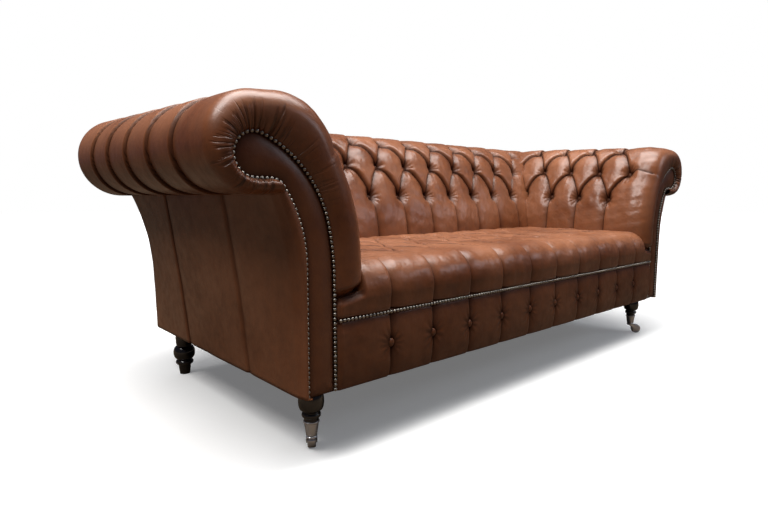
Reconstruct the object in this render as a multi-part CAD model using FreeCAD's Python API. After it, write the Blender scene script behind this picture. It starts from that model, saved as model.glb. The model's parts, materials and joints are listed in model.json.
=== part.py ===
import FreeCAD, Part

import math
import os

# Chesterfield sofa, in millimetres: a timber frame with shaped boards, foam pads,
# leather covers, buttons, turned legs and a pair of swivel castors at the front.
# +X runs along the sofa, the front faces -Y, +Z is up.
# The origin is on the floor under the middle of the whole sofa.

# Overall frame
base_length = 1760.0
base_depth = 871.0
leg_height = 158.0
rail_height = 142.0
rail_thickness = 28.0

# How far a cutting shape runs past what it cuts, and how far one runs past the whole sofa
overrun = 1.0
long_overrun = 60.0

# Covers, pads and boards
cover_thickness = 3.0
pad_thickness = 40.0
underside_pad = 15.0
lining_thickness = 6.0
panel_thickness = 5.0
board_thickness = 18.0
soft_gap = 0.3

# Arm section, measured inwards from the outside of the base and up from the floor
arm_overhang = 195.0
arm_front_crest = 779.0
roll_underside = 583.0
arm_shoulder_out = 60.0
arm_shoulder_radius = 150.0
arm_lean = 25.0
arm_inner_width = 150.0
pad_upright_height = 430.0
pad_tuck_height = 330.0
arm_flare_radius = 600.0
arm_flare = 52.0

# Back section, measured forwards from the rear of the base
back_overhang = 150.0
back_crest = 811.0
back_shoulder = 75.0
back_shoulder_radius = 190.0
back_lean = 22.0
back_seat_line = 332.0
back_flare_radius = 900.0
back_flare = 20.0
plan_corner_radius = 130.0

# Front edge of the arms and the scroll facings
front_puff = 22.0
rim_bevel = 18.0
rim_step = 0.5
facing_thickness = 10.0
facing_edge = 6.0
nail_line_outer = 8.0
nail_line_inner = 78.0
neck_start = 440.0
neck_radius = 283.0
neck_angle = 31.0
throat_radius = 35.0
scroll_centre_out = 101.0
scroll_centre_z = 657.5
scroll_radius = 43.5
scroll_release = 68.0
brow_radius = 250.0
brow_end = 11.0

# Seat and front border
seat_top = 425.0
seat_lip_radius = 68.0
seat_lip_overhang = 12.0
seat_lip_wing = 362.0
trim_height = 318.0

# Buttons
button_margin = 164.0
button_radius = 12.0
button_thickness = 7.0
button_sides = 8
seat_button_rows = 4
seat_first_row = 120.0
seat_row_pitch = 114.0
seat_row_count = 10
arm_button_pitch = 134.5
arm_first_button = 90.0
arm_button_count = 4
button_row_low = 580.0
button_row_middle = 690.0
button_row_high = 775.0
border_button_height = 240.0

# Webbing, hessian and dust cover
strap_width = 50.0
strap_thickness = 2.0
long_straps = 10
cross_straps = 4
cloth_thickness = 1.0
dust_cover_inset = 12.0

# Back ribs and inner rails
rib_count = 4
rib_end_margin = 230.0
rib_band = 45.0
inner_rail = 25.0
tack_rail_height = 90.0
top_rail_width = 40.0
top_rail_height = 45.0
stretcher_share = 1 / 3
corner_block = 92.0
corner_block_height = 45.0

# Turned parts are made with flat sides round their axis
turning_sides = 24
ball_steps = 4
ring_steps = 2

# Legs
leg_side_inset = 62.0
front_leg_inset = 68.0
rear_leg_inset = 61.0
leg_neck_radius = 27.0
front_collar = 8.0
front_cove = 4.0
front_ball_height = 122.0
front_ball_half = 20.0
front_ball_waist = 24.0
front_ball_bulge = 6.0
front_ring_height = 90.0
front_ring_half = 5.5
front_ring_waist = 18.5
front_ring_bulge = 3.5
rear_cove = 3.0
rear_neck_end = 98.0
rear_ball_height = 72.0
rear_ball_half = 22.0
rear_ball_waist = 22.0
rear_ball_bulge = 11.5
rear_ring_height = 40.0
rear_ring_half = 7.5
rear_ring_waist = 21.5
rear_ring_bulge = 6.0
rear_sole_radius = 15.5
bolt_radius = 4.0
bolt_length = 80.0
bolt_clearance = 0.05
bolt_sides = 12

# Castors
wheel_radius = 18.0
wheel_width = 20.0
wheel_shoulder = 3.0
wheel_sides = 36
trail = 24.0
axle_radius = 3.0
running_gap = 0.05
side_gap = 0.5
cheek_thickness = 2.5
cheek_drop = 3.0
axle_boss_radius = 6.5
crown_lift = 4.0
crown_thickness = 6.0
pin_radius = 4.0
pin_head_radius = 6.5
pin_head_thickness = 3.2
cup_top_radius = 18.0
cup_bottom_radius = 12.5
cup_wall = 1.8
cup_lip = 1.0
cup_lip_height = 3.6
cup_floor = 6.0
cup_top = 75.0

# Direction that each castor trails in, as an angle about its pin
castor_heading = {"left": 56.0, "right": -41.7}

# Derived places
half_length = base_length / 2
front_y = -(base_depth + back_overhang - front_puff) / 2
rear_y = front_y + base_depth
base_z = leg_height
rail_top = base_z + rail_height
board_front_y = front_y + facing_thickness
board_back_y = board_front_y + board_thickness
front_rail_back_y = board_back_y + rail_thickness
pad_depth = cover_thickness + pad_thickness
frame_depth = pad_depth + lining_thickness
pad_under = cover_thickness + underside_pad
frame_under = pad_under + lining_thickness
web_top = rail_top + 2 * strap_thickness
hessian_top = web_top + cloth_thickness
rim_back_y = front_y - front_puff + rim_bevel
arm_climb = (back_crest - arm_front_crest) / (rear_y - rim_back_y)
button_pitch = (base_length - 2 * button_margin) / seat_row_count
rib_span = base_length - 2 * rib_end_margin
stretcher_spacing = base_length * stretcher_share
seat_half = half_length - arm_inner_width - soft_gap
wing_half = half_length - nail_line_inner - facing_edge - 2 * soft_gap
crown_top = 2 * wheel_radius + crown_lift
cup_bottom = crown_top + soft_gap
cup_floor_top = cup_bottom + cup_floor

# Sizes of the two rolled sections, in the order that rolled_section takes them
arm_shape = (arm_overhang, -arm_shoulder_out, arm_shoulder_radius, arm_lean, arm_inner_width,
             arm_flare, arm_flare_radius)
back_shape = (back_overhang, back_shoulder, back_shoulder_radius, back_lean, back_seat_line,
              back_flare, back_flare_radius)

# Corners where an arm meets the back, as distances in from the side and forward from the rear
outer_corner = (-arm_overhang, -back_overhang)
crest_corner = (-arm_shoulder_out, arm_overhang - arm_shoulder_out - back_overhang)
inner_corner = (arm_inner_width, back_seat_line)


def vec(x, y, z):
    """Point or direction in space."""
    return FreeCAD.Vector(x, y, z)


def box(x0, x1, y0, y1, z0, z1):
    """Box between two corners."""
    return Part.makeBox(x1 - x0, y1 - y0, z1 - z0, vec(x0, y0, z0))


def prism(points, z0, z1):
    """Upright prism over a plan polygon."""
    return flat_face([vec(x, y, z0) for x, y in points]).extrude(vec(0, 0, z1 - z0))


def cylinder(radius, start, end):
    """Round bar between two points."""
    axis = end.sub(start)
    return Part.makeCylinder(radius, axis.Length, start, axis)


def ring(radius, z, sides):
    """Corners of a regular polygon about the upright axis."""
    plan = [circle_point((0, 0), radius, 360 * side / sides) for side in range(sides)]
    return [vec(a, b, z) for a, b in plan]


def flat_face(corners):
    """Flat face between corners."""
    return Part.Face(Part.makePolygon(corners + corners[:1]))


def turned(points, x, y, sides=turning_sides):
    """Solid turned about an upright axis from radius and height points, with flat sides."""
    rings = [ring(radius, z, sides) for radius, z in points]
    faces = [flat_face(rings[0]), flat_face(rings[-1])]
    for upper, lower in zip(rings, rings[1:]):
        for side in range(sides):
            after = (side + 1) % sides
            faces.append(flat_face([upper[side], upper[after], lower[after], lower[side]]))
    solid = Part.Solid(Part.makeShell(faces))
    solid.translate(vec(x, y, 0))
    return solid


def bead(radius, z, half_height, bulge, steps):
    """Points of a rounded bead that bulges beyond a radius, from top to bottom."""
    points = []
    for step in range(steps + 1):
        angle = math.pi * (0.5 - step / steps)
        points.append((radius + bulge * math.cos(angle), z + half_height * math.sin(angle)))
    return points


def circle_point(centre, radius, angle):
    """Point on a circle at an angle in degrees."""
    turn = math.radians(angle)
    return (centre[0] + radius * math.cos(turn), centre[1] + radius * math.sin(turn))


def line(start, end):
    """Straight segment between two points."""
    return ("line", start, end)


def arc(centre, radius, start, end):
    """Arc segment with its three points on a circle."""
    middle = (start + end) / 2
    return ("arc", circle_point(centre, radius, start), circle_point(centre, radius, middle),
            circle_point(centre, radius, end))


def wire_of(segments, place):
    """Closed wire from outline segments, set in space by a placing function."""
    edges = []
    for segment in segments:
        points = [place(a, b) for a, b in segment[1:]]
        if segment[0] == "line":
            edges.append(Part.makeLine(points[0], points[1]))
        else:
            edges.append(Part.Arc(points[0], points[1], points[2]).toShape())
    return Part.Wire(edges)


def on_arm(side, y):
    """Placing function for an arm section: distance in from the outside, and height."""
    return lambda u, z: vec(side * (half_length - u), y, z)


def on_back(x):
    """Placing function for a back section: distance forward from the rear, and height."""
    return lambda v, z: vec(x, rear_y - v, z)


def flare_edge(flare, radius, inset, top, bottom):
    """Edge of the outside cover from under the roll down to the base."""
    start = roll_underside - math.sqrt(radius ** 2 - (radius - flare) ** 2)
    centre = (-radius, start)
    reach = math.degrees(math.asin((top - start) / (radius + inset)))
    foot = math.degrees(math.asin(max(0.0, bottom - start) / (radius + inset)))
    edge = [arc(centre, radius + inset, reach, foot)]
    if start > bottom:
        edge.append(line((inset, start), (inset, bottom)))
    return edge


def inner_curves(shape, crest):
    """Centres of the shoulder's and the lower inner curve, and the lower curve's radius."""
    overhang, shoulder, shoulder_radius, lean, inner, flare, flare_radius = shape
    turn = math.radians(lean)
    hip = (shoulder, crest - shoulder_radius)
    brow = circle_point(hip, shoulder_radius, lean)
    reach = inner - brow[0]
    drop = brow[1] - pad_upright_height
    bow = 1 - math.cos(turn)
    lower_radius = (drop * math.sin(turn) - reach * math.cos(turn)) / (
        math.sin(turn) ** 2 - bow * math.cos(turn))
    return hip, (inner - lower_radius, pad_upright_height), lower_radius


def rolled_section(shape, crest, inset, under, outside, bottom):
    """Filled section of a rolled arm or back.

    It rises from the seat, leans outwards, turns over the shoulder and crest,
    and runs round the roll to the outside cover. All of it lies inset from the leather.
    """
    overhang, shoulder, shoulder_radius, lean, inner, flare, flare_radius = shape
    hip, lower, lower_radius = inner_curves(shape, crest)
    radius = (crest - inset - roll_underside - under) / 2
    roll = (radius + inset - overhang, roll_underside + under + radius)
    outer = flare_edge(flare, flare_radius, outside, roll_underside + under, bottom)
    return [
        line((inner - inset, bottom), (inner - inset, pad_upright_height)),
        arc(lower, lower_radius - inset, 0, lean),
        line(circle_point(lower, lower_radius - inset, lean),
             circle_point(hip, shoulder_radius - inset, lean)),
        arc(hip, shoulder_radius - inset, lean, 90),
        line((shoulder, crest - inset), (roll[0], crest - inset)),
        arc(roll, radius, 90, 180),
        arc(roll, radius, 180, 270),
        line((roll[0], roll_underside + under), outer[0][1]),
    ] + outer + [line(outer[-1][-1], (inner - inset, bottom))]


def arm_bar(side, y0, y1, inset, under, outside, bottom):
    """Arm section drawn out between two planes, tilted to the climb of the crest."""
    section = rolled_section(arm_shape, arm_front_crest, inset, under, outside, bottom - long_overrun)
    length = rear_y + back_overhang - rim_back_y + 2 * long_overrun
    bar = Part.Face(wire_of(section, on_arm(side, rim_back_y - long_overrun))).extrude(vec(0, length, 0))
    pivot = (arm_front_crest + roll_underside) / 2
    bar.rotate(vec(0, rim_back_y, pivot), vec(1, 0, 0), math.degrees(math.atan(arm_climb)))
    xs = sorted((side * (half_length + arm_overhang + long_overrun), 0))
    return bar.common(box(xs[0], xs[1], y0, y1, bottom, back_crest + long_overrun))


def arm_rim(side, inset, outside, bottom):
    """Bevelled front edge of the arm, where the leather turns in to the facing."""
    wires = []
    for y, depth in ((rim_back_y - rim_bevel + inset, rim_bevel + rim_step), (rim_back_y, inset + rim_step)):
        section = rolled_section(arm_shape, arm_front_crest, depth, depth, outside + rim_step, bottom)
        wires.append(wire_of(section, on_arm(side, y)))
    return Part.makeLoft(wires, True, True)


def scroll_outline(grow):
    """Line of nails round the facing: up the outside, round the scroll and down inside."""
    turn = math.radians(neck_angle)
    scroll = (-scroll_centre_out, scroll_centre_z)
    floor = scroll_centre_z - scroll_radius
    rise = floor - throat_radius - neck_start - (neck_radius - throat_radius) * math.sin(turn)
    run = rise / math.cos(turn)
    throat_u = nail_line_outer - neck_radius - run * math.sin(turn)
    throat = (throat_u + (neck_radius - throat_radius) * math.cos(turn), floor - throat_radius)
    neck = (nail_line_outer - neck_radius, neck_start)
    brow = circle_point(scroll, scroll_radius - brow_radius, scroll_release)
    shin = circle_point(brow, brow_radius, brow_end)
    shin_radius = (nail_line_inner - shin[0]) / (1 - math.cos(math.radians(brow_end)))
    shin_centre = (nail_line_inner - shin_radius, shin[1] - shin_radius * math.sin(math.radians(brow_end)))
    return [
        line((nail_line_outer - grow, base_z), (nail_line_outer - grow, neck_start)),
        arc(neck, neck_radius - grow, 0, neck_angle),
        line(circle_point(neck, neck_radius - grow, neck_angle),
             circle_point(throat, throat_radius - grow, neck_angle)),
        arc(throat, throat_radius - grow, neck_angle, 90),
        line((throat[0], floor - grow), (scroll[0], floor - grow)),
        arc(scroll, scroll_radius + grow, 270, 180),
        arc(scroll, scroll_radius + grow, 180, scroll_release),
        arc(brow, brow_radius + grow, scroll_release, brow_end),
        arc(shin_centre, shin_radius + grow, brow_end, 0),
        line((nail_line_inner + grow, shin_centre[1]), (nail_line_inner + grow, base_z)),
        line((nail_line_inner + grow, base_z), (nail_line_outer - grow, base_z)),
    ]


def scroll_prism(side, grow, y0, y1):
    """Upright slab in the scroll's outline."""
    face = Part.Face(wire_of(scroll_outline(grow), on_arm(side, y0)))
    return face.extrude(vec(0, y1 - y0, 0))


def back_bar(x0, x1, inset, under, outside, bottom):
    """Back section drawn out along the sofa."""
    section = rolled_section(back_shape, back_crest, inset, under, outside, bottom)
    return Part.Face(wire_of(section, on_back(x0))).extrude(vec(x1 - x0, 0, 0))


def rounded_plan(inset):
    """Plan of the whole sofa with rounded rear corners, as an upright prism."""
    reach = half_length + arm_overhang - inset
    rear = rear_y + back_overhang - inset
    block = box(-reach, reach, front_y - 2 * front_puff, rear, 0, back_crest + overrun)
    corners = [edge for edge in block.Edges
               if edge.BoundBox.ZLength > back_crest and edge.BoundBox.YMin > 0]
    return block.makeFillet(plan_corner_radius - inset, corners)


def beyond(start, end, distance):
    """Point past the end of a run."""
    length = math.hypot(end[0] - start[0], end[1] - start[1])
    return (end[0] + (end[0] - start[0]) * distance / length,
            end[1] + (end[1] - start[1]) * distance / length)


def mitre_line(side):
    """Plan line of the joint between an arm and the back, from outside to inside."""
    points = [beyond(crest_corner, outer_corner, long_overrun), crest_corner,
              beyond(crest_corner, inner_corner, long_overrun)]
    return [(side * (half_length - u), rear_y - v) for u, v in points]


def arm_side_of_mitre(side, gap):
    """Upright prism over the arm's part of the plan."""
    joint = [(x, y - gap) for x, y in mitre_line(side)]
    front = front_y - 2 * front_puff
    outline = joint + [(joint[2][0], front), (joint[0][0], front)]
    return prism(outline, 0, back_crest + overrun)


def back_side_of_mitre(gap):
    """Upright prism over the back's part of the plan."""
    left = [(x, y + gap) for x, y in mitre_line(-1)]
    right = [(x, y + gap) for x, y in mitre_line(1)]
    return prism(left + right[::-1], 0, back_crest + overrun)


def arm_body(side, inset, under, outside, bottom):
    """Arm from its rounded front edge to its joint with the back."""
    bar = arm_bar(side, rim_back_y, rear_y + back_overhang, inset, under, outside, bottom)
    bar = bar.common(rounded_plan(inset)).common(arm_side_of_mitre(side, 0))
    return bar.fuse(arm_rim(side, inset, outside, bottom))


def arm_core(side, inset, under, y0):
    """Space inside the arm behind a plane, open at the bottom and the outside."""
    return arm_bar(side, y0, rear_y + back_overhang, inset, under, panel_thickness,
                   pad_tuck_height - overrun).common(rounded_plan(inset))


def facing_room(side):
    """Room in front of the arm's board for the facing and the outside cover's front edge."""
    front = front_y - 2 * front_puff
    xs = sorted((side * (half_length + arm_overhang), side * (half_length - nail_line_inner)))
    strip = box(xs[0], xs[1], front, board_front_y, 0, roll_underside + 3 * soft_gap)
    return scroll_prism(side, facing_edge + soft_gap, front, board_front_y).fuse(strip)


def arm_cover(side):
    """Leather over the inside, crest and roll of an arm, turned in round the facing."""
    edge = panel_thickness + soft_gap
    skin = arm_body(side, 0, 0, edge, pad_tuck_height)
    filling = arm_body(side, cover_thickness, cover_thickness, panel_thickness, pad_tuck_height - overrun)
    return skin.cut(filling).cut(facing_room(side)).cut(seat_wing(soft_gap))


def arm_pad(side):
    """Foam over the arm frame, under the leather."""
    edge = panel_thickness + soft_gap
    skin = cover_thickness + soft_gap
    foam = arm_body(side, skin, skin, edge, pad_tuck_height)
    space = arm_core(side, pad_depth, pad_under, board_front_y)
    return foam.cut(space).cut(facing_room(side)).cut(seat_wing(soft_gap))


def arm_lining(side):
    """Bent upholstery board that carries the arm's foam."""
    shell = arm_bar(side, board_back_y, rear_y + back_overhang, pad_depth, pad_under,
                    panel_thickness + soft_gap, pad_tuck_height)
    space = arm_core(side, frame_depth, frame_under, board_back_y - overrun)
    return shell.common(rounded_plan(pad_depth)).common(arm_side_of_mitre(side, 0)).cut(space)


def arm_front_board(side):
    """Shaped board at the front of an arm, which the facing and the nails hold to."""
    return arm_bar(side, board_front_y, board_back_y, pad_depth + soft_gap, pad_under + soft_gap,
                   panel_thickness + soft_gap, base_z)


def arm_rear_board(side):
    """Shaped board at the rear of an arm, standing on the side rail."""
    y = rear_y - back_seat_line - board_thickness
    return arm_bar(side, y, y + board_thickness, frame_depth + soft_gap, frame_under + soft_gap,
                   panel_thickness + soft_gap, rail_top)


def arm_top_rail(side):
    """Rail under the crest between the arm's two boards."""
    y_rear = rear_y - back_seat_line - board_thickness
    wires = []
    for y in (board_back_y, y_rear):
        top = arm_front_crest - frame_depth - lining_thickness
        u0 = -arm_shoulder_out - top_rail_width / 2
        points = [(u0, top), (u0 + top_rail_width, top),
                  (u0 + top_rail_width, top - top_rail_height), (u0, top - top_rail_height)]
        loop = [on_arm(side, y)(u, z) for u, z in points]
        wires.append(Part.makePolygon(loop + loop[:1]))
    return Part.makeLoft(wires, True, True)


def arm_tack_rail(side):
    """Rail beside the seat that the arm's covers are tacked to."""
    y_rear = rear_y - back_seat_line - board_thickness
    outer = half_length - arm_inner_width + frame_depth
    xs = sorted((side * outer, side * (outer + inner_rail)))
    return box(xs[0], xs[1], board_back_y, y_rear, pad_tuck_height, pad_tuck_height + tack_rail_height)


def scroll_facing(side):
    """Padded leather panel inside the line of nails."""
    return scroll_prism(side, facing_edge, front_y, board_front_y)


def back_body(inset, under, outside, bottom):
    """Back drawn out over the whole length, with the sofa's rounded rear corners."""
    reach = half_length + arm_overhang
    return back_bar(-reach, reach, inset, under, outside, bottom).common(rounded_plan(inset))


def back_cover():
    """Leather over the inside, crest and roll of the back."""
    skin = back_body(0, 0, panel_thickness + soft_gap, pad_tuck_height)
    filling = back_body(cover_thickness, cover_thickness, panel_thickness, pad_tuck_height - overrun)
    return skin.cut(filling).common(back_side_of_mitre(soft_gap))


def back_pad():
    """Foam over the back frame, under the leather."""
    skin = cover_thickness + soft_gap
    foam = back_body(skin, skin, panel_thickness + soft_gap, pad_tuck_height)
    space = back_body(pad_depth, pad_under, panel_thickness, pad_tuck_height - overrun)
    return foam.cut(space).common(back_side_of_mitre(soft_gap))


def back_lining():
    """Bent upholstery board that carries the back's foam."""
    shell = back_body(pad_depth, pad_under, panel_thickness + soft_gap, pad_tuck_height)
    space = back_body(frame_depth, frame_under, panel_thickness, pad_tuck_height - overrun)
    return shell.cut(space).common(back_side_of_mitre(soft_gap))


def back_rib_places():
    """Middle of each rib along the sofa."""
    step = rib_span / (rib_count - 1)
    return [step * index - rib_span / 2 for index in range(rib_count)]


def back_top_rail():
    """Rail along the top of the ribs, let into a notch in each."""
    top = back_crest - frame_depth - cover_thickness
    reach = rib_span / 2 + board_thickness / 2
    return box(-reach, reach, rear_y - back_shoulder, rear_y - back_shoulder + top_rail_width,
               top - top_rail_height, top)


def back_rib(x):
    """Shaped rib of the back with a lightening hole, standing on the two rear rails."""
    x0 = x - board_thickness / 2
    edge = panel_thickness + soft_gap
    rib = back_bar(x0, x0 + board_thickness, frame_depth + soft_gap, frame_under + soft_gap, edge, rail_top)
    hole = back_bar(x0, x0 + board_thickness, frame_depth + rib_band, frame_under + rib_band,
                    panel_thickness + rib_band, rail_top + rib_band)
    return rib.cut(hole).cut(back_top_rail())


def outer_skirt(inset):
    """Flared solid inside the outside covers, from the base to the underside of the rolls."""
    top = roll_underside + back_crest - arm_front_crest
    side = flare_edge(arm_flare, arm_flare_radius, inset, top, base_z)
    flip = [mirrored(segment) for segment in side[::-1]]
    across = side + [line(side[-1][-1], flip[0][1])] + flip
    across.append(line(flip[-1][-1], side[0][1]))
    wide = Part.Face(wire_of(across, lambda u, z: vec(u - half_length, front_y, z)))
    wide = wide.extrude(vec(0, base_depth + back_flare + overrun, 0))
    rear = flare_edge(back_flare, back_flare_radius, inset, top, base_z)
    front = base_depth
    along = rear + [line(rear[-1][-1], (front, base_z)), line((front, base_z), (front, top))]
    along.append(line((front, top), rear[0][1]))
    reach = half_length + arm_flare + overrun
    deep = Part.Face(wire_of(along, on_back(-reach))).extrude(vec(2 * reach, 0, 0))
    return wide.common(deep)


def mirrored(segment):
    """Outline segment turned over end for end across the sofa's middle."""
    return (segment[0],) + tuple((base_length - u, z) for u, z in segment[:0:-1])


def outside_shell():
    """Outside leather of both arms and the back in one piece, before it is cut at the corners."""
    return outer_skirt(0).cut(outer_skirt(panel_thickness))


def corner_cut(side):
    """Upright prism over an outside arm cover's part of the plan, cut at 45 degrees at the rear."""
    far = arm_flare + long_overrun
    near = panel_thickness + arm_flare
    points = [(-far, -far), (near, near), (near, base_depth + front_puff), (-far, base_depth + front_puff)]
    return prism([(side * (half_length - u), rear_y - v) for u, v in points], 0, back_crest)


def under_roll(side):
    """Room under an arm's roll, sloping up to the rear with it."""
    length = base_depth + front_puff + back_flare
    points = [(0, 0), (length, 0), (length, roll_underside + length * arm_climb), (0, roll_underside)]
    face = flat_face([vec(0, rim_back_y + y, z - soft_gap) for y, z in points])
    return face.extrude(vec(side * (half_length + arm_overhang), 0, 0))


def outside_arm_cover(side):
    """Leather panel on the outside of an arm, turned in beside the facing at the front."""
    facing = scroll_prism(side, facing_edge + soft_gap, front_y - front_puff, board_front_y)
    xs = sorted((side * (half_length + arm_overhang), side * (half_length - nail_line_outer)))
    turned_in = outer_skirt(0).common(box(xs[0], xs[1], front_y, board_front_y, 0, back_crest))
    panel = outside_shell().common(corner_cut(side)).fuse(turned_in)
    under_back = box(-base_length, base_length, 0, base_length, roll_underside - soft_gap, back_crest)
    panel = panel.cut(facing).common(under_roll(side))
    return panel.cut(back_side_of_mitre(-soft_gap).common(under_back)).removeSplitter()


def outside_back_cover():
    """Leather panel on the outside of the back."""
    top = roll_underside - soft_gap
    shell = outside_shell().common(box(-base_length, base_length, 0, base_length, 0, top))
    return shell.cut(corner_cut(-1)).cut(corner_cut(1))


def base_rails():
    """Rails of the base by name."""
    side_x = half_length - panel_thickness
    inner_x = side_x - rail_thickness
    rear_in = rear_y - panel_thickness - rail_thickness
    seat_rail_y = rear_y - back_seat_line + frame_depth
    rails = {
        "front_rail": box(-inner_x, inner_x, board_back_y, front_rail_back_y, base_z, rail_top),
        "back_rail": box(-inner_x, inner_x, rear_in, rear_in + rail_thickness, base_z, rail_top),
        "rear_seat_rail": box(-inner_x, inner_x, seat_rail_y - rail_thickness, seat_rail_y + rail_thickness,
                              rail_top - tack_rail_height, rail_top),
    }
    for side, name in ((-1, "left"), (1, "right")):
        xs = sorted((side * inner_x, side * side_x))
        rails["side_rail_" + name] = box(xs[0], xs[1], board_back_y, rear_in + rail_thickness,
                                         base_z, rail_top)
    return rails


def base_stretchers():
    """Two bearers between the front and back rails."""
    bearers = []
    rear_in = rear_y - panel_thickness - rail_thickness
    for side in (-1, 1):
        x = side * stretcher_spacing / 2
        bearers.append(box(x - rail_thickness / 2, x + rail_thickness / 2, front_rail_back_y, rear_in,
                           base_z, rail_top - tack_rail_height))
    return Part.makeCompound(bearers)


def leg_places():
    """Plan place of each leg by name."""
    x = half_length - leg_side_inset
    front = front_y + front_leg_inset
    rear = rear_y - rear_leg_inset
    return {
        "front_left": (-x, front),
        "front_right": (x, front),
        "rear_left": (-x, rear),
        "rear_right": (x, rear),
    }


def bolt(x, y, radius, top, bottom):
    """Upright bar at a leg's place, for a bolt or its hole."""
    return turned([(radius, top), (radius, bottom)], x, y, bolt_sides)


def bolt_hole(x, y, top, bottom):
    """Bar of a bolt's hole at a leg's place."""
    return bolt(x, y, bolt_radius + bolt_clearance, top, bottom)


def corner_blocks():
    """Blocks glued into the corners of the base, which the legs are bolted to."""
    inner_x = half_length - panel_thickness - rail_thickness
    rear_in = rear_y - panel_thickness - rail_thickness
    blocks = []
    for name, (x, y) in leg_places().items():
        side = math.copysign(1, x)
        xs = sorted((side * inner_x, side * (inner_x - corner_block)))
        y0 = front_rail_back_y if name.startswith("front") else rear_in - corner_block
        block = box(xs[0], xs[1], y0, y0 + corner_block, base_z, base_z + corner_block_height)
        blocks.append(block.cut(bolt_hole(x, y, base_z + bolt_length, base_z - bolt_length)))
    return Part.makeCompound(blocks)


def leg_bolts():
    """Hanger bolts that join the legs to the corner blocks."""
    bolts = []
    for x, y in leg_places().values():
        top = base_z + corner_block_height
        bolts.append(bolt(x, y, bolt_radius, top, top - bolt_length))
    return Part.makeCompound(bolts)


def front_leg(x, y):
    """Turned front leg with a spigot for the castor's cup."""
    neck = leg_neck_radius
    points = [(neck, base_z), (neck - front_cove, base_z - front_collar)]
    points += bead(front_ball_waist, front_ball_height, front_ball_half, front_ball_bulge, ball_steps)
    points += bead(front_ring_waist, front_ring_height, front_ring_half, front_ring_bulge, ring_steps)
    points += spigot_points()
    leg = turned(points, x, y)
    return leg.cut(bolt_hole(x, y, base_z, base_z - bolt_length + corner_block_height))


def rear_leg(x, y):
    """Turned rear leg that stands on the floor."""
    neck = leg_neck_radius
    points = [(neck, base_z), (neck - rear_cove, rear_neck_end)]
    points += bead(rear_ball_waist, rear_ball_height, rear_ball_half, rear_ball_bulge, ball_steps)
    points += bead(rear_ring_waist, rear_ring_height, rear_ring_half, rear_ring_bulge, ring_steps)
    points += [(rear_sole_radius, 0.0)]
    leg = turned(points, x, y)
    return leg.cut(bolt_hole(x, y, base_z, base_z - bolt_length + corner_block_height))


def spigot_points():
    """Radius and height of the leg's end inside the cup."""
    return [(cup_top_radius - cup_wall - soft_gap, cup_top + soft_gap),
            (cup_bottom_radius - cup_wall / 2 - soft_gap, cup_floor_top + soft_gap)]


def castor_cup(x, y):
    """Cup on the leg's end, with the pin that the fork swivels on and its riveted head."""
    head_top = crown_top - crown_thickness - soft_gap
    points = [
        (cup_top_radius - cup_wall, cup_top),
        (cup_top_radius, cup_top),
        (cup_top_radius, cup_top - cup_lip_height),
        (cup_top_radius - cup_lip, cup_top - cup_lip_height),
        (cup_bottom_radius, cup_bottom),
        (pin_radius, cup_bottom),
        (pin_radius, head_top),
        (pin_head_radius, head_top),
        (pin_head_radius, head_top - pin_head_thickness / 2),
        (pin_radius, head_top - pin_head_thickness),
    ]
    inner = [(cup_top_radius - cup_wall, cup_top), (cup_bottom_radius - cup_wall / 2, cup_floor_top)]
    return turned(points, x, y).cut(turned(inner, x, y))


def castor_fork(x, y, heading):
    """Fork with a crown that turns on the cup's pin and two cheeks down to the axle."""
    crown_bottom = crown_top - crown_thickness
    inner = wheel_width / 2 + side_gap
    outer = inner + cheek_thickness
    crown = turned([(outer, crown_top), (outer, crown_bottom)], 0, 0)
    shoulder = crown_top - overrun
    boss = [circle_point((trail, wheel_radius), axle_boss_radius, angle) for angle in (40, -40, -90, -140)]
    profile = [(-axle_boss_radius, crown_bottom), (axle_boss_radius, shoulder)] + boss
    profile.append((0, crown_bottom - cheek_drop))
    fork = crown
    for y0 in (-outer, inner):
        plate = flat_face([vec(a, y0, z) for a, z in profile]).extrude(vec(0, cheek_thickness, 0))
        fork = fork.fuse(plate)
    bore = cylinder(pin_radius + running_gap, vec(0, 0, 0), vec(0, 0, crown_top))
    hole = cylinder(axle_radius, vec(trail, -outer, wheel_radius), vec(trail, outer, wheel_radius))
    fork = fork.removeSplitter().cut(bore).cut(hole)
    return placed(fork, x, y, heading)


def placed(shape, x, y, heading):
    """Castor piece turned to its heading and moved under its leg."""
    shape.rotate(vec(0, 0, 0), vec(0, 0, 1), heading)
    shape.translate(vec(x, y, 0))
    return shape


def castor_axle(x, y, heading):
    """Pin through the fork's cheeks that the wheel runs on."""
    reach = wheel_width / 2 + side_gap + cheek_thickness
    axle = cylinder(axle_radius, vec(trail, -reach, wheel_radius), vec(trail, reach, wheel_radius))
    return placed(axle, x, y, heading)


def castor_wheel(x, y, heading):
    """Metal wheel with a rounded rim and a bore that runs on the axle."""
    half = wheel_width / 2
    points = [(wheel_radius - wheel_shoulder, half), (wheel_radius, half - wheel_shoulder),
              (wheel_radius, wheel_shoulder - half), (wheel_radius - wheel_shoulder, -half)]
    wheel = turned(points, 0, 0, wheel_sides)
    wheel = wheel.cut(cylinder(axle_radius + running_gap, vec(0, 0, -half), vec(0, 0, half)))
    wheel.rotate(vec(0, 0, 0), vec(1, 0, 0), 90)
    wheel.translate(vec(trail, 0, wheel_radius))
    return placed(wheel, x, y, heading)


def seat_section(inset, y_rear, bottom):
    """Side outline of the seat with its rounded front lip."""
    front = front_y - seat_lip_overhang + inset
    top = seat_top - inset
    radius = seat_lip_radius - inset
    centre = (front + radius, top - radius)
    return [
        line((front, trim_height), (front, centre[1])),
        arc(centre, radius, 180, 90),
        line((centre[0], top), (y_rear, top)),
        line((y_rear, top), (y_rear, bottom)),
        line((y_rear, bottom), (board_front_y + soft_gap, bottom)),
        line((board_front_y + soft_gap, bottom), (board_front_y + soft_gap, trim_height)),
        line((board_front_y + soft_gap, trim_height), (front, trim_height)),
    ]


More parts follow.
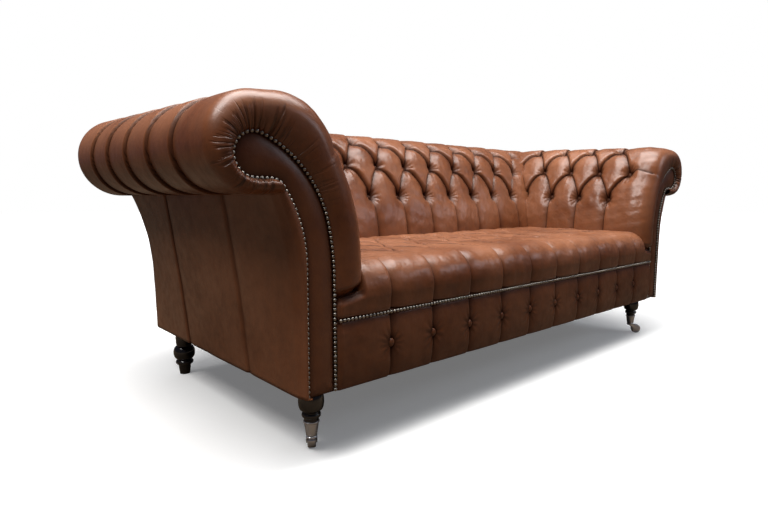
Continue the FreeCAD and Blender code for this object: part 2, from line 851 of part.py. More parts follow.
def seat_bar(inset, half, y_rear, bottom):
    """Seat's side outline drawn out along the sofa."""
    wire = wire_of(seat_section(inset, y_rear, bottom), lambda y, z: vec(-half, y, z))
    return Part.Face(wire).extrude(vec(2 * half, 0, 0))


def seat_wing(gap):
    """Space of the seat's front lip where it passes in front of both arms."""
    reach = wing_half + gap
    return box(-reach, reach, front_y - 2 * front_puff, board_front_y, 0, seat_lip_wing + gap)


def seat_body(inset, bottom):
    """Seat with its lip carried out in front of the arms."""
    y_rear = rear_y - back_seat_line - soft_gap
    body = seat_bar(inset, seat_half - inset, y_rear, bottom)
    lip = seat_bar(inset, wing_half - inset, y_rear, bottom)
    front = front_y - 2 * front_puff
    back = board_front_y - soft_gap
    lip = lip.common(box(-half_length, half_length, front, back, 0, seat_lip_wing - inset))
    return body.cut(board_gap_blocks()).fuse(lip).removeSplitter()


def board_gap_blocks():
    """Room for the front boards and arms beside the seat."""
    front = front_y - 2 * front_puff
    blocks = []
    for side in (-1, 1):
        xs = sorted((side * seat_half, side * half_length))
        blocks.append(box(xs[0], xs[1], front, rear_y, 0, back_crest))
    return Part.makeCompound(blocks)


def seat_cover():
    """Leather over the seat, its sides and its front lip."""
    return seat_body(0, hessian_top + soft_gap).cut(seat_body(cover_thickness, hessian_top - overrun))


def seat_foam():
    """Foam and springing of the seat in one block."""
    return seat_body(cover_thickness, hessian_top + soft_gap)


def border_half():
    """Half the length between the arms' front boards."""
    return half_length - arm_inner_width + pad_depth


def border_board():
    """Board behind the front border, in line with the arms' front boards."""
    reach = border_half()
    return box(-reach, reach, board_front_y, board_back_y, base_z, rail_top)


def front_border():
    """Padded leather panel under the seat's nail trim."""
    reach = wing_half
    return box(-reach, reach, front_y, board_front_y, base_z, trim_height - soft_gap)


def seat_webbing():
    """Straps laid both ways over the seat rails."""
    straps = []
    reach = border_half() - strap_width
    step = 2 * reach / (long_straps - 1)
    seat_rail_y = rear_y - back_seat_line + frame_depth
    for index in range(long_straps):
        x = index * step - reach
        straps.append(box(x - strap_width / 2, x + strap_width / 2, board_back_y, seat_rail_y,
                          rail_top, rail_top + strap_thickness))
    across = half_length - panel_thickness
    step = (seat_rail_y - front_rail_back_y) / (cross_straps + 1)
    for index in range(cross_straps):
        y = front_rail_back_y + step * (index + 1)
        straps.append(box(-across, across, y - strap_width / 2, y + strap_width / 2,
                          rail_top + strap_thickness, web_top))
    return Part.makeCompound(straps)


def seat_hessian():
    """Cloth over the webbing that the seat foam rests on."""
    reach = seat_half
    y_rear = rear_y - back_seat_line - soft_gap
    return box(-reach, reach, board_back_y, y_rear, web_top, hessian_top)


def dust_cover():
    """Black cloth under the base, with a hole round each leg."""
    reach = half_length - dust_cover_inset
    cloth = box(-reach, reach, front_y + dust_cover_inset, rear_y - dust_cover_inset,
                base_z - cloth_thickness, base_z)
    for x, y in leg_places().values():
        hole = [(leg_neck_radius + overrun, base_z + overrun), (leg_neck_radius + overrun, 0)]
        cloth = cloth.cut(turned(hole, x, y))
    return cloth


def slope_place(shape, crest, height):
    """Point and lean of the pad's inner face at a height."""
    shoulder_radius, lean = shape[2:4]
    hip, lower, lower_radius = inner_curves(shape, crest)
    brow = circle_point(hip, shoulder_radius, lean)
    knee = circle_point(lower, lower_radius, lean)
    if height > brow[1]:
        angle = math.degrees(math.asin((height - hip[1]) / shoulder_radius))
        return circle_point(hip, shoulder_radius, angle), angle
    if height < knee[1]:
        angle = math.degrees(math.asin((height - lower[1]) / lower_radius))
        return circle_point(lower, lower_radius, angle), angle
    return (brow[0] + (brow[1] - height) * math.tan(math.radians(lean)), height), lean


def across(normal, angle):
    """Unit vector square to a normal, at an angle about it."""
    first = normal.cross(vec(1, 0, 0))
    first.normalize()
    turn = math.radians(angle)
    return first * math.cos(turn) + normal.cross(first) * math.sin(turn)


def button(base, normal):
    """Covered button standing off a pad along its normal."""
    normal.normalize()
    start = base + normal * soft_gap
    loop = []
    for index in range(button_sides):
        loop.append(start + across(normal, 360 * index / button_sides) * button_radius)
    return flat_face(loop).extrude(normal * button_thickness)


def half_step_places(count):
    """Places along the sofa, one pitch apart and even about the middle."""
    return [button_pitch * (index - (count - 1) / 2) for index in range(count)]


def back_buttons():
    """Buttons of the back in three staggered rows."""
    buttons = []
    for extra, height in enumerate((button_row_low, button_row_middle, button_row_high)):
        count = seat_row_count + extra
        (v, z), angle = slope_place(back_shape, back_crest, height)
        turn = math.radians(angle)
        for x in half_step_places(count):
            normal = vec(0, -math.cos(turn), math.sin(turn))
            buttons.append(button(vec(x, rear_y - v, z), normal))
    return Part.makeCompound(buttons)


def arm_buttons(side):
    """Buttons of an arm in three staggered rows."""
    buttons = []
    rows = ((button_row_low, 0.5), (button_row_middle, 0.0), (button_row_high, 0.5))
    for height, shift in rows:
        for index in range(arm_button_count):
            y = front_y + arm_first_button + arm_button_pitch * (index + shift)
            rise = arm_climb * (y - rim_back_y)
            (u, z), angle = slope_place(arm_shape, arm_front_crest, height - rise)
            turn = math.radians(angle)
            normal = vec(-side * math.cos(turn), -arm_climb * math.sin(turn), math.sin(turn))
            buttons.append(button(vec(side * (half_length - u), y, z + rise), normal))
    return Part.makeCompound(buttons)


def seat_buttons():
    """Buttons of the seat in staggered rows."""
    buttons = []
    for row in range(seat_button_rows):
        y = front_y + seat_first_row + row * seat_row_pitch
        count = seat_row_count - row % 2
        for x in half_step_places(count):
            buttons.append(button(vec(x, y, seat_top), vec(0, 0, 1)))
    return Part.makeCompound(buttons)


def border_buttons():
    """Buttons on the seams of the front border."""
    buttons = []
    for x in half_step_places(seat_row_count):
        buttons.append(button(vec(x, front_y, border_button_height), vec(0, -1, 0)))
    return Part.makeCompound(buttons)


def export(name, shape):
    """Write one piece to its file and report its size."""
    if not shape.isValid():
        print("not valid:", name)
    shape.exportStep("parts/" + name + ".step")
    print(name, len(shape.Solids), "solids", round(shape.Volume / 1000), "cm3")


def main():
    """Make every piece of the sofa and write it out."""
    os.makedirs("parts", exist_ok=True)
    pieces = base_rails()
    pieces["base_stretchers"] = base_stretchers()
    pieces["corner_blocks"] = corner_blocks()
    pieces["border_board"] = border_board()
    pieces["leg_bolts"] = leg_bolts()
    pieces["dust_cover"] = dust_cover()
    pieces["seat_webbing"] = seat_webbing()
    pieces["seat_hessian"] = seat_hessian()
    pieces["seat_foam"] = seat_foam()
    pieces["seat_cover"] = seat_cover()
    pieces["front_border"] = front_border()
    pieces["back_top_rail"] = back_top_rail()
    for index, x in enumerate(back_rib_places()):
        pieces["back_rib_" + str(index + 1)] = back_rib(x)
    pieces["back_lining"] = back_lining()
    pieces["back_pad"] = back_pad()
    pieces["back_cover"] = back_cover()
    pieces["outside_back_cover"] = outside_back_cover()
    pieces["back_buttons"] = back_buttons()
    pieces["seat_buttons"] = seat_buttons()
    pieces["border_buttons"] = border_buttons()
    for side, name in ((-1, "left"), (1, "right")):
        pieces["arm_front_board_" + name] = arm_front_board(side)
        pieces["arm_rear_board_" + name] = arm_rear_board(side)
        pieces["arm_top_rail_" + name] = arm_top_rail(side)
        pieces["arm_tack_rail_" + name] = arm_tack_rail(side)
        pieces["arm_lining_" + name] = arm_lining(side)
        pieces["arm_pad_" + name] = arm_pad(side)
        pieces["arm_cover_" + name] = arm_cover(side)
        pieces["outside_arm_cover_" + name] = outside_arm_cover(side)
        pieces["scroll_facing_" + name] = scroll_facing(side)
        pieces["arm_buttons_" + name] = arm_buttons(side)
        x, y = leg_places()["front_" + name]
        heading = castor_heading[name]
        pieces["front_leg_" + name] = front_leg(x, y)
        pieces["castor_cup_" + name] = castor_cup(x, y)
        pieces["castor_fork_" + name] = castor_fork(x, y, heading)
        pieces["castor_axle_" + name] = castor_axle(x, y, heading)
        pieces["castor_wheel_" + name] = castor_wheel(x, y, heading)
        x, y = leg_places()["rear_" + name]
        pieces["rear_leg_" + name] = rear_leg(x, y)
    for name, shape in pieces.items():
        export(name, shape)


if __name__ == "__main__":
    main()
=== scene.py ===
import json
import math

import bmesh
import bpy
import numpy as np
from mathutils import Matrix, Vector, geometry


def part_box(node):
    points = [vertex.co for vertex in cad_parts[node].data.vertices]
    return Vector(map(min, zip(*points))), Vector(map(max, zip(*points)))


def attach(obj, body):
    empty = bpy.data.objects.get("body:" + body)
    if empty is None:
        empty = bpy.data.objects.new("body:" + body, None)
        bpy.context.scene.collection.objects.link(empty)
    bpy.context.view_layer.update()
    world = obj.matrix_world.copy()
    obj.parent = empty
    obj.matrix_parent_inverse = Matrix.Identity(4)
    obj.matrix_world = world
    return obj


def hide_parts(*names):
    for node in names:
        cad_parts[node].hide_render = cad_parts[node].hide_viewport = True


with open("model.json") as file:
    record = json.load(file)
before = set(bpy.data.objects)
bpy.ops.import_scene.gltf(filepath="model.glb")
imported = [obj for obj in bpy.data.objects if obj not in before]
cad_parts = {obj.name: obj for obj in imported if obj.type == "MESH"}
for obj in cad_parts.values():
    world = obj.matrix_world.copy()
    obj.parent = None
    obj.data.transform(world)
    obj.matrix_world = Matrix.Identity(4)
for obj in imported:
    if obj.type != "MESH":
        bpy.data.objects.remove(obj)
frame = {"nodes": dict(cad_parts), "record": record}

bl_info = {
    "name": "Chesterfield sofa",
    "version": (1, 0, 0),
    "blender": (4, 5, 0),
    "location": "View3D > Sidebar > Sofa",
    "description": "Builds the leather, buttons, nails, legs and castors of a chesterfield sofa",
    "category": "Object",
}

SOFA = "sofa"
SIDES = (("left", -1), ("right", 1))


class SofaSettings(bpy.types.PropertyGroup):
    """Sizes and colours of the sofa's looks"""
    crown: bpy.props.FloatProperty(
        name="Crown", description="Height of the padding between buttons",
        default=0.022, unit="LENGTH")
    pit: bpy.props.FloatProperty(
        name="Pit", description="Extra depth at a button",
        default=0.026, unit="LENGTH")
    fold: bpy.props.FloatProperty(
        name="Fold", description="Depth of the folds between buttons",
        default=0.016, unit="LENGTH")
    pleat: bpy.props.FloatProperty(
        name="Pleat", description="Depth of the pleats over the rolls",
        default=0.0085, unit="LENGTH")
    grid: bpy.props.FloatProperty(
        name="Grid", description="Spacing of the leather's mesh",
        default=0.0032, unit="LENGTH")
    nail_radius: bpy.props.FloatProperty(
        name="Nail radius", description="Radius of a nail head",
        default=0.0043, unit="LENGTH")
    nail_pitch: bpy.props.FloatProperty(
        name="Nail pitch", description="Distance between nails",
        default=0.0104, unit="LENGTH")
    button_radius: bpy.props.FloatProperty(
        name="Button radius", description="Radius of a covered button",
        default=0.0105, unit="LENGTH")
    # Dark tone of the mottling, and also the painted shade in folds, pits, gathers and crevices
    leather_dark: bpy.props.FloatVectorProperty(
        name="Dark leather and fold shade", description="Dark tone of the leather, also painted shade in folds",
        subtype="COLOR", default=(0.018, 0.0045, 0.0018))
    leather_mid: bpy.props.FloatVectorProperty(
        name="Leather", description="Colour of the leather",
        subtype="COLOR", default=(0.128, 0.034, 0.0080))
    # Pale tone of the mottling and of worn crowns, and also painted top light on the crests and seat top
    leather_light: bpy.props.FloatVectorProperty(
        name="Worn and top-lit leather", description="Colour of worn leather and of painted top light",
        subtype="COLOR", default=(0.310, 0.125, 0.060))
    leg_colour: bpy.props.FloatVectorProperty(
        name="Legs", description="Colour of the polished legs",
        subtype="COLOR", default=(0.010, 0.007, 0.006))


# Places taken from the frame
def frame_box(node):
    """Low and high corners of a frame node."""
    low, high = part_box(node)
    return np.array(low), np.array(high)


def frame_middle(node):
    """Middle of a frame node's box."""
    low, high = frame_box(node)
    return (low + high) / 2


half_length = frame_box("side_rail_right")[1][0] + 0.005
front_y = frame_box("front_border")[0][1]
frame_depth = 0.871
rear_y = front_y + frame_depth
base_z = frame_box("front_border")[0][2]

# Sections of the arms and the back: distances in from the outside, heights and radii
arm = {"overhang": 0.195, "shoulder": -0.060, "shoulder_radius": 0.150, "lean": 25.0, "inner": 0.150}
back = {"overhang": 0.150, "shoulder": 0.075, "shoulder_radius": 0.190, "lean": 22.0, "inner": 0.332}
arm_front_crest = 0.779
back_crest = 0.811
roll_underside = 0.583
upright_height = 0.430
front_puff = 0.022
rim_depth = 0.038
rim_back_y = front_y - front_puff + rim_depth
nail_outer = 0.008
nail_inner = 0.078
trim_height = 0.318
seat_top = 0.425
seat_lip_radius = 0.068
seat_lip_overhang = 0.012
button_pitch = 0.1432
arm_pitch = 0.1345
arm_first = 0.090
rows = {"low": 0.580, "middle": 0.690, "high": 0.775}
seat_rows = (0.120, 0.240, 0.350, 0.460)
corner_radius = 0.130
arm_foot = 0.348
back_foot = 0.362
arm_middle = (half_length + 0.08, 0, 0.66)
back_middle = (0, rear_y + 0.03, 0.66)
roll_pleats = (0.180, 0.330, 0.490, 0.645, 0.800)
outside_seams = (0.235, 0.590)
border_button_height = 0.240
button_reach = 0.6
fold_line_width = 0.0034
button_height = 0.0055
low_button_height = 0.0050
nail_height = 0.0036
gather_count = 64

# Camera: focal length in mm, turn and tilt in degrees, place left of, in front of and above the sofa
camera_lens = 25.14
camera_turn = 41.7
camera_tilt = -6.29
camera_left = 0.593
camera_front = 0.915
camera_height = 0.579


def settings():
    """The sofa's settings."""
    return bpy.context.scene.sofa


def smooth(low, high, value):
    """Smooth step from 0 at low to 1 at high."""
    t = np.clip((value - low) / (high - low), 0, 1)
    return t * t * (3 - 2 * t)


def ripple(points, scale, seed):
    """Smooth random field over points, about -1 to 1."""
    rng = np.random.default_rng(seed)
    total = np.zeros(points.shape[:-1])
    weight = 0.0
    for octave in range(3):
        size = scale / 1.9 ** octave
        for _ in range(6):
            direction = rng.normal(size=points.shape[-1])
            direction /= np.linalg.norm(direction)
            turn = rng.uniform(0, 2 * math.pi)
            total += np.sin(points @ direction * (2 * math.pi / size) + turn) * 0.6 ** octave / 2.5
        weight += 0.6 ** octave
    return total / weight


def arc_points(centre, radius, start, end, count):
    """Points along an arc, with its angles in degrees."""
    turns = np.radians(np.linspace(start, end, count))
    return np.stack([centre[0] + radius * np.cos(turns), centre[1] + radius * np.sin(turns)], -1)


def line_points(start, end, count):
    """Points along a straight line, both ends kept."""
    return np.linspace(start, end, count)


def join_points(parts):
    """Runs of points joined at their shared ends."""
    return np.concatenate([parts[0]] + [part[1:] for part in parts[1:]])


def section_places(shape, crest):
    """Centres and ends of the curves of a rolled section."""
    lean = math.radians(shape["lean"])
    inner, radius = shape["inner"], shape["shoulder_radius"]
    hip = np.array((shape["shoulder"], crest - radius))
    toward = np.array((math.cos(lean), math.sin(lean)))
    brow = hip + radius * toward
    reach = inner - brow[0]
    drop = brow[1] - upright_height
    lower = (drop * toward[1] - reach * toward[0]) / (toward[1] ** 2 - (1 - toward[0]) * toward[0])
    centre = np.array((inner - lower, upright_height))
    roll_radius = (crest - roll_underside) / 2
    roll = np.array((roll_radius - shape["overhang"], roll_underside + roll_radius))
    return hip, radius, brow, centre, lower, centre + lower * toward, roll, roll_radius


def rolled_profile(shape, crest, low, end, step):
    """Section from the seat up the inside, over the crest and round the roll."""
    def parts(top):
        """Lines and arcs of the section with their lengths."""
        hip, radius, brow, centre, lower, knee, roll, roll_radius = section_places(shape, top)
        inner, lean = shape["inner"], shape["lean"]
        return (
            (np.array(((inner, low), (inner, upright_height))), upright_height - low),
            ((centre, lower, 0, lean), lower * math.radians(lean)),
            (np.array((knee, brow)), np.linalg.norm(brow - knee)),
            ((hip, radius, lean, 90), radius * math.radians(90 - lean)),
            (np.array(((hip[0], top), (roll[0], top))), abs(hip[0] - roll[0])),
            ((roll, roll_radius, 90, 270), roll_radius * math.pi),
            (np.array(((roll[0], roll_underside), (end, roll_underside))), abs(end - roll[0])),
        )

    runs = []
    middle = parts((arm_front_crest + back_crest) / 2)
    for (part, _), (_, length) in zip(parts(crest), middle):
        count = max(2, int(round(length / step)) + 1)
        runs.append(arc_points(*part, count) if isinstance(part, tuple) else line_points(*part, count))
    return join_points(runs)


def run_length(points):
    """Length along a run of points."""
    gaps = np.linalg.norm(np.diff(points, axis=0), axis=1)
    return np.concatenate([[0.0], np.cumsum(gaps)])


def grid_normals(grid):
    """Unit normals of a grid of points."""
    across = np.gradient(grid, axis=0)
    along = np.gradient(grid, axis=1)
    normals = np.cross(across, along)
    return normals / np.maximum(np.linalg.norm(normals, axis=-1, keepdims=True), 1e-9)


def bowed(low, high, bow):
    """Fold between a button and one in the row above, bowed up and out, as a run of points."""
    (s0, p0), (s1, p1) = low, high
    control = np.array(((s0 + s1) / 2 + bow * (s1 - s0), (p0 + p1) / 2 + bow * (p0 - p1)))
    t = np.linspace(0, 1, 7)[:, None]
    return (1 - t) ** 2 * np.array(low) + 2 * t * (1 - t) * control + t ** 2 * np.array(high)


def fold_field(s, p, folds):
    """Depth of folds over a sheet, and the painted shade in and beside them.

    A fold is its run, its depth and the widths of its sharp side and its soft side.
    """
    depth = np.zeros(s.shape)
    shade = np.zeros(s.shape)
    for run, size, steep, gentle in folds:
        run = np.asarray(run)
        reach = 4 * gentle
        low, high = run.min(0) - reach, run.max(0) + reach
        near = (s > low[0]) & (s < high[0]) & (p > low[1]) & (p < high[1])
        here = np.stack([s[near], p[near]], -1)
        best = np.full(len(here), 1.0)
        sign = np.zeros(len(here))
        for start, end in zip(run, run[1:]):
            way = end - start
            t = np.clip((here - start) @ way / (way @ way), 0, 1)
            gap = here - start - t[:, None] * way
            away = np.hypot(gap[:, 0], gap[:, 1])
            closer = away < best
            best = np.where(closer, away, best)
            cross = gap[:, 0] * way[1] - gap[:, 1] * way[0]
            sign = np.where(closer, cross * np.sign(steep), sign)
        width = np.where(sign > 0, abs(steep), gentle)
        depth[near] = np.maximum(depth[near], size * np.exp(-best / width))
        # Painted shade: a dark line along each fold and a soft shade beside it
        line = np.exp(-(best / fold_line_width) ** 2) * min(1.0, size / 0.004)
        soft = 0.55 * np.exp(-best / (width * 0.5)) * min(1.0, size / 0.010)
        shade[near] = np.maximum(shade[near], np.maximum(line, soft))
    return depth, shade


def pit_field(s, p, pits, seed):
    """Depth of the pits round buttons, and of the small creases that run out from them."""
    rng = np.random.default_rng(seed)
    depth = np.zeros(s.shape)
    crease = np.zeros(s.shape)
    for ps, pp in pits:
        near = (abs(s - ps) < 0.08) & (abs(p - pp) < 0.08)
        count = int(rng.integers(9, 14))
        turn = rng.uniform(0, 6.28)
        away = np.hypot((s[near] - ps) / 1.2, p[near] - pp)
        angle = np.arctan2(s[near] - ps, p[near] - pp)
        depth[near] = np.maximum(depth[near], np.exp(-(away / 0.0185) ** 1.7))
        wave = np.sin(count * angle + turn + 1.3 * np.sin(2 * angle + turn))
        crease[near] += wave * np.exp(-((away - 0.020) / 0.014) ** 2)
    return depth, crease


def make_mesh(name, points, faces, attributes=None):
    """Mesh object from points and faces, with point attributes."""
    mesh = bpy.data.meshes.new(name)
    mesh.from_pydata([tuple(point) for point in points], [], faces)
    for key, values in (attributes or {}).items():
        layer = mesh.attributes.new(key, "FLOAT", "POINT")
        layer.data.foreach_set("value", np.asarray(values, np.float32).ravel())
    mesh.polygons.foreach_set("use_smooth", [True] * len(mesh.polygons))
    mesh.update()
    thing = bpy.data.objects.new(name, mesh)
    bpy.context.scene.collection.objects.link(thing)
    return thing


def grid_faces(row_count, columns, flip):
    """Faces over a grid of points."""
    faces = []
    for i in range(row_count - 1):
        for j in range(columns - 1):
            a = i * columns + j
            face = (a, a + 1, a + columns + 1, a + columns)
            faces.append(face[::-1] if flip else face)
    return faces


def grid_mesh(name, grid, attributes=None, flip=False):
    """Mesh object over a grid of points."""
    faces = grid_faces(grid.shape[0], grid.shape[1], flip)
    return make_mesh(name, grid.reshape(-1, 3), faces, attributes)


def finish_piece(thing, material, nodes=(), body=SOFA):
    """Give a piece its material, its body and the frame nodes it stands for."""
    if material is not None:
        thing.data.materials.clear()
        thing.data.materials.append(material)
    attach(thing, body)
    if nodes:
        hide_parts(*nodes)
    return thing


# Materials
def new_material(name):
    """Empty material with its nodes, links and shader."""
    material = bpy.data.materials.new(name)
    material.use_nodes = True
    nodes = material.node_tree.nodes
    shader = nodes["Principled BSDF"]
    return material, nodes, material.node_tree.links, shader


def plain_material(name, colour, rough, metal=0.0, coat=0.0):
    """Material of one colour."""
    material, _, _, shader = new_material(name)
    shader.inputs["Base Color"].default_value = (*colour, 1)
    shader.inputs["Roughness"].default_value = rough
    shader.inputs["Metallic"].default_value = metal
    shader.inputs["Coat Weight"].default_value = coat
    shader.inputs["Coat Roughness"].default_value = 0.08
    return material


def leather_material():
    """Antique leather: mottled, with painted shade in the folds and gathers, paler where it is worn and
    where top light is painted, with a fine grain.
    """
    found = bpy.data.materials.get("antique leather")
    if found:
        return found
    look = settings()
    material, nodes, links, shader = new_material("antique leather")
    place = nodes.new("ShaderNodeTexCoord")

    def noise(scale, detail):
        """Random value over the sofa."""
        node = nodes.new("ShaderNodeTexNoise")
        node.inputs["Scale"].default_value = scale
        node.inputs["Detail"].default_value = detail
        links.new(place.outputs["Object"], node.inputs["Vector"])
        return node.outputs["Fac"]

    def ramp(source, low, high):
        """Value spread from a low and a high limit to 0 and 1."""
        node = nodes.new("ShaderNodeMapRange")
        node.inputs["From Min"].default_value = low
        node.inputs["From Max"].default_value = high
        links.new(source, node.inputs["Value"])
        return node.outputs["Result"]

    def mix(factor, first, second):
        """Colour between two, each a colour or a socket."""
        node = nodes.new("ShaderNodeMix")
        node.data_type = "RGBA"
        links.new(factor, node.inputs["Factor"])
        for value, socket in ((first, node.inputs["A"]), (second, node.inputs["B"])):
            if isinstance(value, bpy.types.NodeSocket):
                links.new(value, socket)
            else:
                socket.default_value = (*value, 1)
        return node.outputs["Result"]

    def attribute(name):
        """Value kept on the mesh's points."""
        node = nodes.new("ShaderNodeAttribute")
        node.attribute_name = name
        return node.outputs["Fac"]

    def maths(kind, first, second):
        """Sum of two values or sockets, kept within 0 and 1."""
        node = nodes.new("ShaderNodeMath")
        node.operation = kind
        node.use_clamp = True
        for value, socket in ((first, node.inputs[0]), (second, node.inputs[1])):
            if isinstance(value, bpy.types.NodeSocket):
                links.new(value, socket)
            else:
                socket.default_value = value
        return node.outputs["Value"]

    mottle = ramp(noise(5.0, 5.0), 0.35, 0.68)
    fine = ramp(noise(38.0, 6.0), 0.35, 0.7)
    # Paler where the leather is worn and where top light is painted on the crowns, crests and seat top
    worn = maths("MULTIPLY", attribute("worn"), maths("ADD", mottle, 0.35))
    sheet = nodes.new("ShaderNodeCombineXYZ")
    links.new(attribute("gather_along"), sheet.inputs["X"])
    links.new(attribute("gather_across"), sheet.inputs["Y"])
    pulls = nodes.new("ShaderNodeTexNoise")
    pulls.inputs["Scale"].default_value = 1.0
    pulls.inputs["Detail"].default_value = 1.5
    links.new(sheet.outputs["Vector"], pulls.inputs["Vector"])
    # Gathers at the rim: a bump, plus painted shade in their creases
    pulled = maths("MULTIPLY", ramp(pulls.outputs["Fac"], 0.52, 0.66), attribute("gather"))
    base = mix(maths("MULTIPLY", fine, 0.35), look.leather_mid, look.leather_dark)
    base = mix(maths("MULTIPLY", mottle, 0.35), base, look.leather_light)
    base = mix(maths("MULTIPLY", worn, 0.75), base, look.leather_light)
    base = mix(maths("MULTIPLY", pulled, 0.65), base, look.leather_dark)
    # Painted shade from the fold attribute: folds, pits, crevices, button heads and the darker front faces
    base = mix(attribute("fold"), base, look.leather_dark)
    links.new(base, shader.inputs["Base Color"])
    shine = maths("ADD", maths("MULTIPLY", fine, 0.14), 0.33)
    links.new(maths("ADD", shine, maths("MULTIPLY", attribute("fold"), 0.2)), shader.inputs["Roughness"])
    # Less shine and coat where shade is painted
    fold_shade = attribute("fold")
    links.new(maths("SUBTRACT", 0.34, maths("MULTIPLY", fold_shade, 0.30)), shader.inputs["Specular IOR Level"])
    links.new(maths("SUBTRACT", 0.30, maths("MULTIPLY", fold_shade, 0.36)), shader.inputs["Coat Weight"])
    shader.inputs["Coat Roughness"].default_value = 0.24
    cells = nodes.new("ShaderNodeTexVoronoi")
    cells.inputs["Scale"].default_value = 620.0
    links.new(place.outputs["Object"], cells.inputs["Vector"])
    grain = nodes.new("ShaderNodeBump")
    grain.inputs["Strength"].default_value = 0.16
    grain.inputs["Distance"].default_value = 0.0006
    links.new(cells.outputs["Distance"], grain.inputs["Height"])
    crinkle = nodes.new("ShaderNodeBump")
    crinkle.inputs["Strength"].default_value = 0.22
    crinkle.inputs["Distance"].default_value = 0.003
    links.new(noise(70.0, 5.0), crinkle.inputs["Height"])
    links.new(grain.outputs["Normal"], crinkle.inputs["Normal"])
    crease = nodes.new("ShaderNodeBump")
    crease.invert = True
    crease.inputs["Strength"].default_value = 0.75
    crease.inputs["Distance"].default_value = 0.006
    links.new(pulled, crease.inputs["Height"])
    links.new(crinkle.outputs["Normal"], crease.inputs["Normal"])
    links.new(crease.outputs["Normal"], shader.inputs["Normal"])
    return material


def paint_node(node, material):
    """Give every face of a frame node one material."""
    for slot in frame["nodes"][node].material_slots:
        slot.material = material


def shared(name, make):
    """Material made once and used again."""
    return bpy.data.materials.get(name) or make(name)


def nail_metal():
    """Dull metal of the nails."""
    return shared("antique nail", lambda name: plain_material(name, (0.36, 0.33, 0.29), 0.32, 1.0))


def chrome_metal():
    """Bright metal of the castors."""
    return shared("polished chrome", lambda name: plain_material(name, (0.80, 0.81, 0.83), 0.15, 0.72, 0.6))


def leg_polish():
    """Dark polished wood of the legs."""
    return shared("leg polish", lambda name: plain_material(name, settings().leg_colour, 0.22, 0.0, 0.8))


def seen_or_not(nodes, links, seen, unseen):
    """Colour that is one for the camera and another for the light it throws."""
    path = nodes.new("ShaderNodeLightPath")
    mix = nodes.new("ShaderNodeMix")
    mix.data_type = "RGBA"
    mix.inputs["A"].default_value = (*unseen, 1)
    mix.inputs["B"].default_value = (*seen, 1)
    links.new(path.outputs["Is Camera Ray"], mix.inputs["Factor"])
    return mix.outputs["Result"]


# Tufting
def spread_places(count):
    """Places of a row of buttons or seams, a pitch apart and even about the middle."""
    return [button_pitch * (k - (count - 1) / 2) for k in range(count)]


def row_place(profile, height):
    """Length along a section where its inside reaches a height."""
    lengths = run_length(profile)
    inside = profile[:, 1].argmax()
    return float(np.interp(height, profile[:inside + 1, 1], lengths[:inside + 1]))


def tufted(grid, s, p, folds, pits, crown, seed, outwards, pit_depth):
    """Leather pushed out from a sheet between its folds and pits, with painted shade in them, the crowns'
    height for wear and painted top light, and the places of its buttons.
    """
    depth, shade = fold_field(s, p, folds)
    pit, crease = pit_field(s, p, pits, seed)
    plane = np.stack([s, p], -1)
    loose = ripple(plane, 0.16, seed) * 0.0016 + ripple(plane, 0.045, seed + 1) * 0.0006
    share = np.clip(crown / 0.01, 0.15, 1)
    height = crown - depth * (1 - 0.5 * pit) - pit_depth * pit + loose * share + 0.0010 * crease
    normals = grid_normals(grid)
    if np.sum(normals * outwards(grid)) < 0:
        normals = -normals
    moved = grid + normals * height[..., None]
    # Crowns lighter: wear on the high points, and also painted top light
    top = np.clip(height / max(settings().crown, 1e-6), 0, 1)
    # Painted shade: darker in the folds and deep in the pits
    painted_shade = np.clip(shade * 0.95 + pit ** 1.5 * 0.9, 0, 1)
    heads = []
    for ps, pp in pits:
        at = np.unravel_index(np.argmin((s - ps) ** 2 + (p - pp) ** 2), s.shape)
        heads.append((moved[at] + normals[at] * 0.001, normals[at]))
    return moved, painted_shade, top, heads


def staggered(height_s, places):
    """Button places of one row."""
    return [(height_s, place) for place in places]


def inner_folds(low, middle, high, end_s, low_p, middle_p, high_p, reach, roll_p, turn):
    """Folds of a buttoned side: up from the seat, the diamonds and over the roll.

    The turn is 1 or -1, the way in which the pleats over the roll overlap.
    """
    look = settings()
    folds = []
    for place in low_p:
        folds.append((((0.0, place), (low, place)), look.fold * 0.75, 0.004, 0.022))
    for s0, first, s1, second in ((low, low_p, middle, middle_p), (middle, middle_p, high, high_p)):
        for a in first:
            for b in second:
                if abs(a - b) < reach:
                    side = 0.0045 if a < b else -0.0045
                    folds.append((bowed((s0, a), (s1, b), 0.20), look.fold, side, 0.021))
    for place, rolled in zip(high_p, roll_p):
        bend = high + (end_s - high) * 0.25
        run = ((high, place), (bend, place + (rolled - place) * 0.35), (end_s, rolled))
        folds.append((run, look.pleat, turn * 0.0016, 0.036))
    return folds


def crown_over(s, high_s, crest_s):
    """Height of the padding along a section, fading out over the crest."""
    return settings().crown * (1 - smooth(high_s - 0.03, crest_s + 0.05, s))


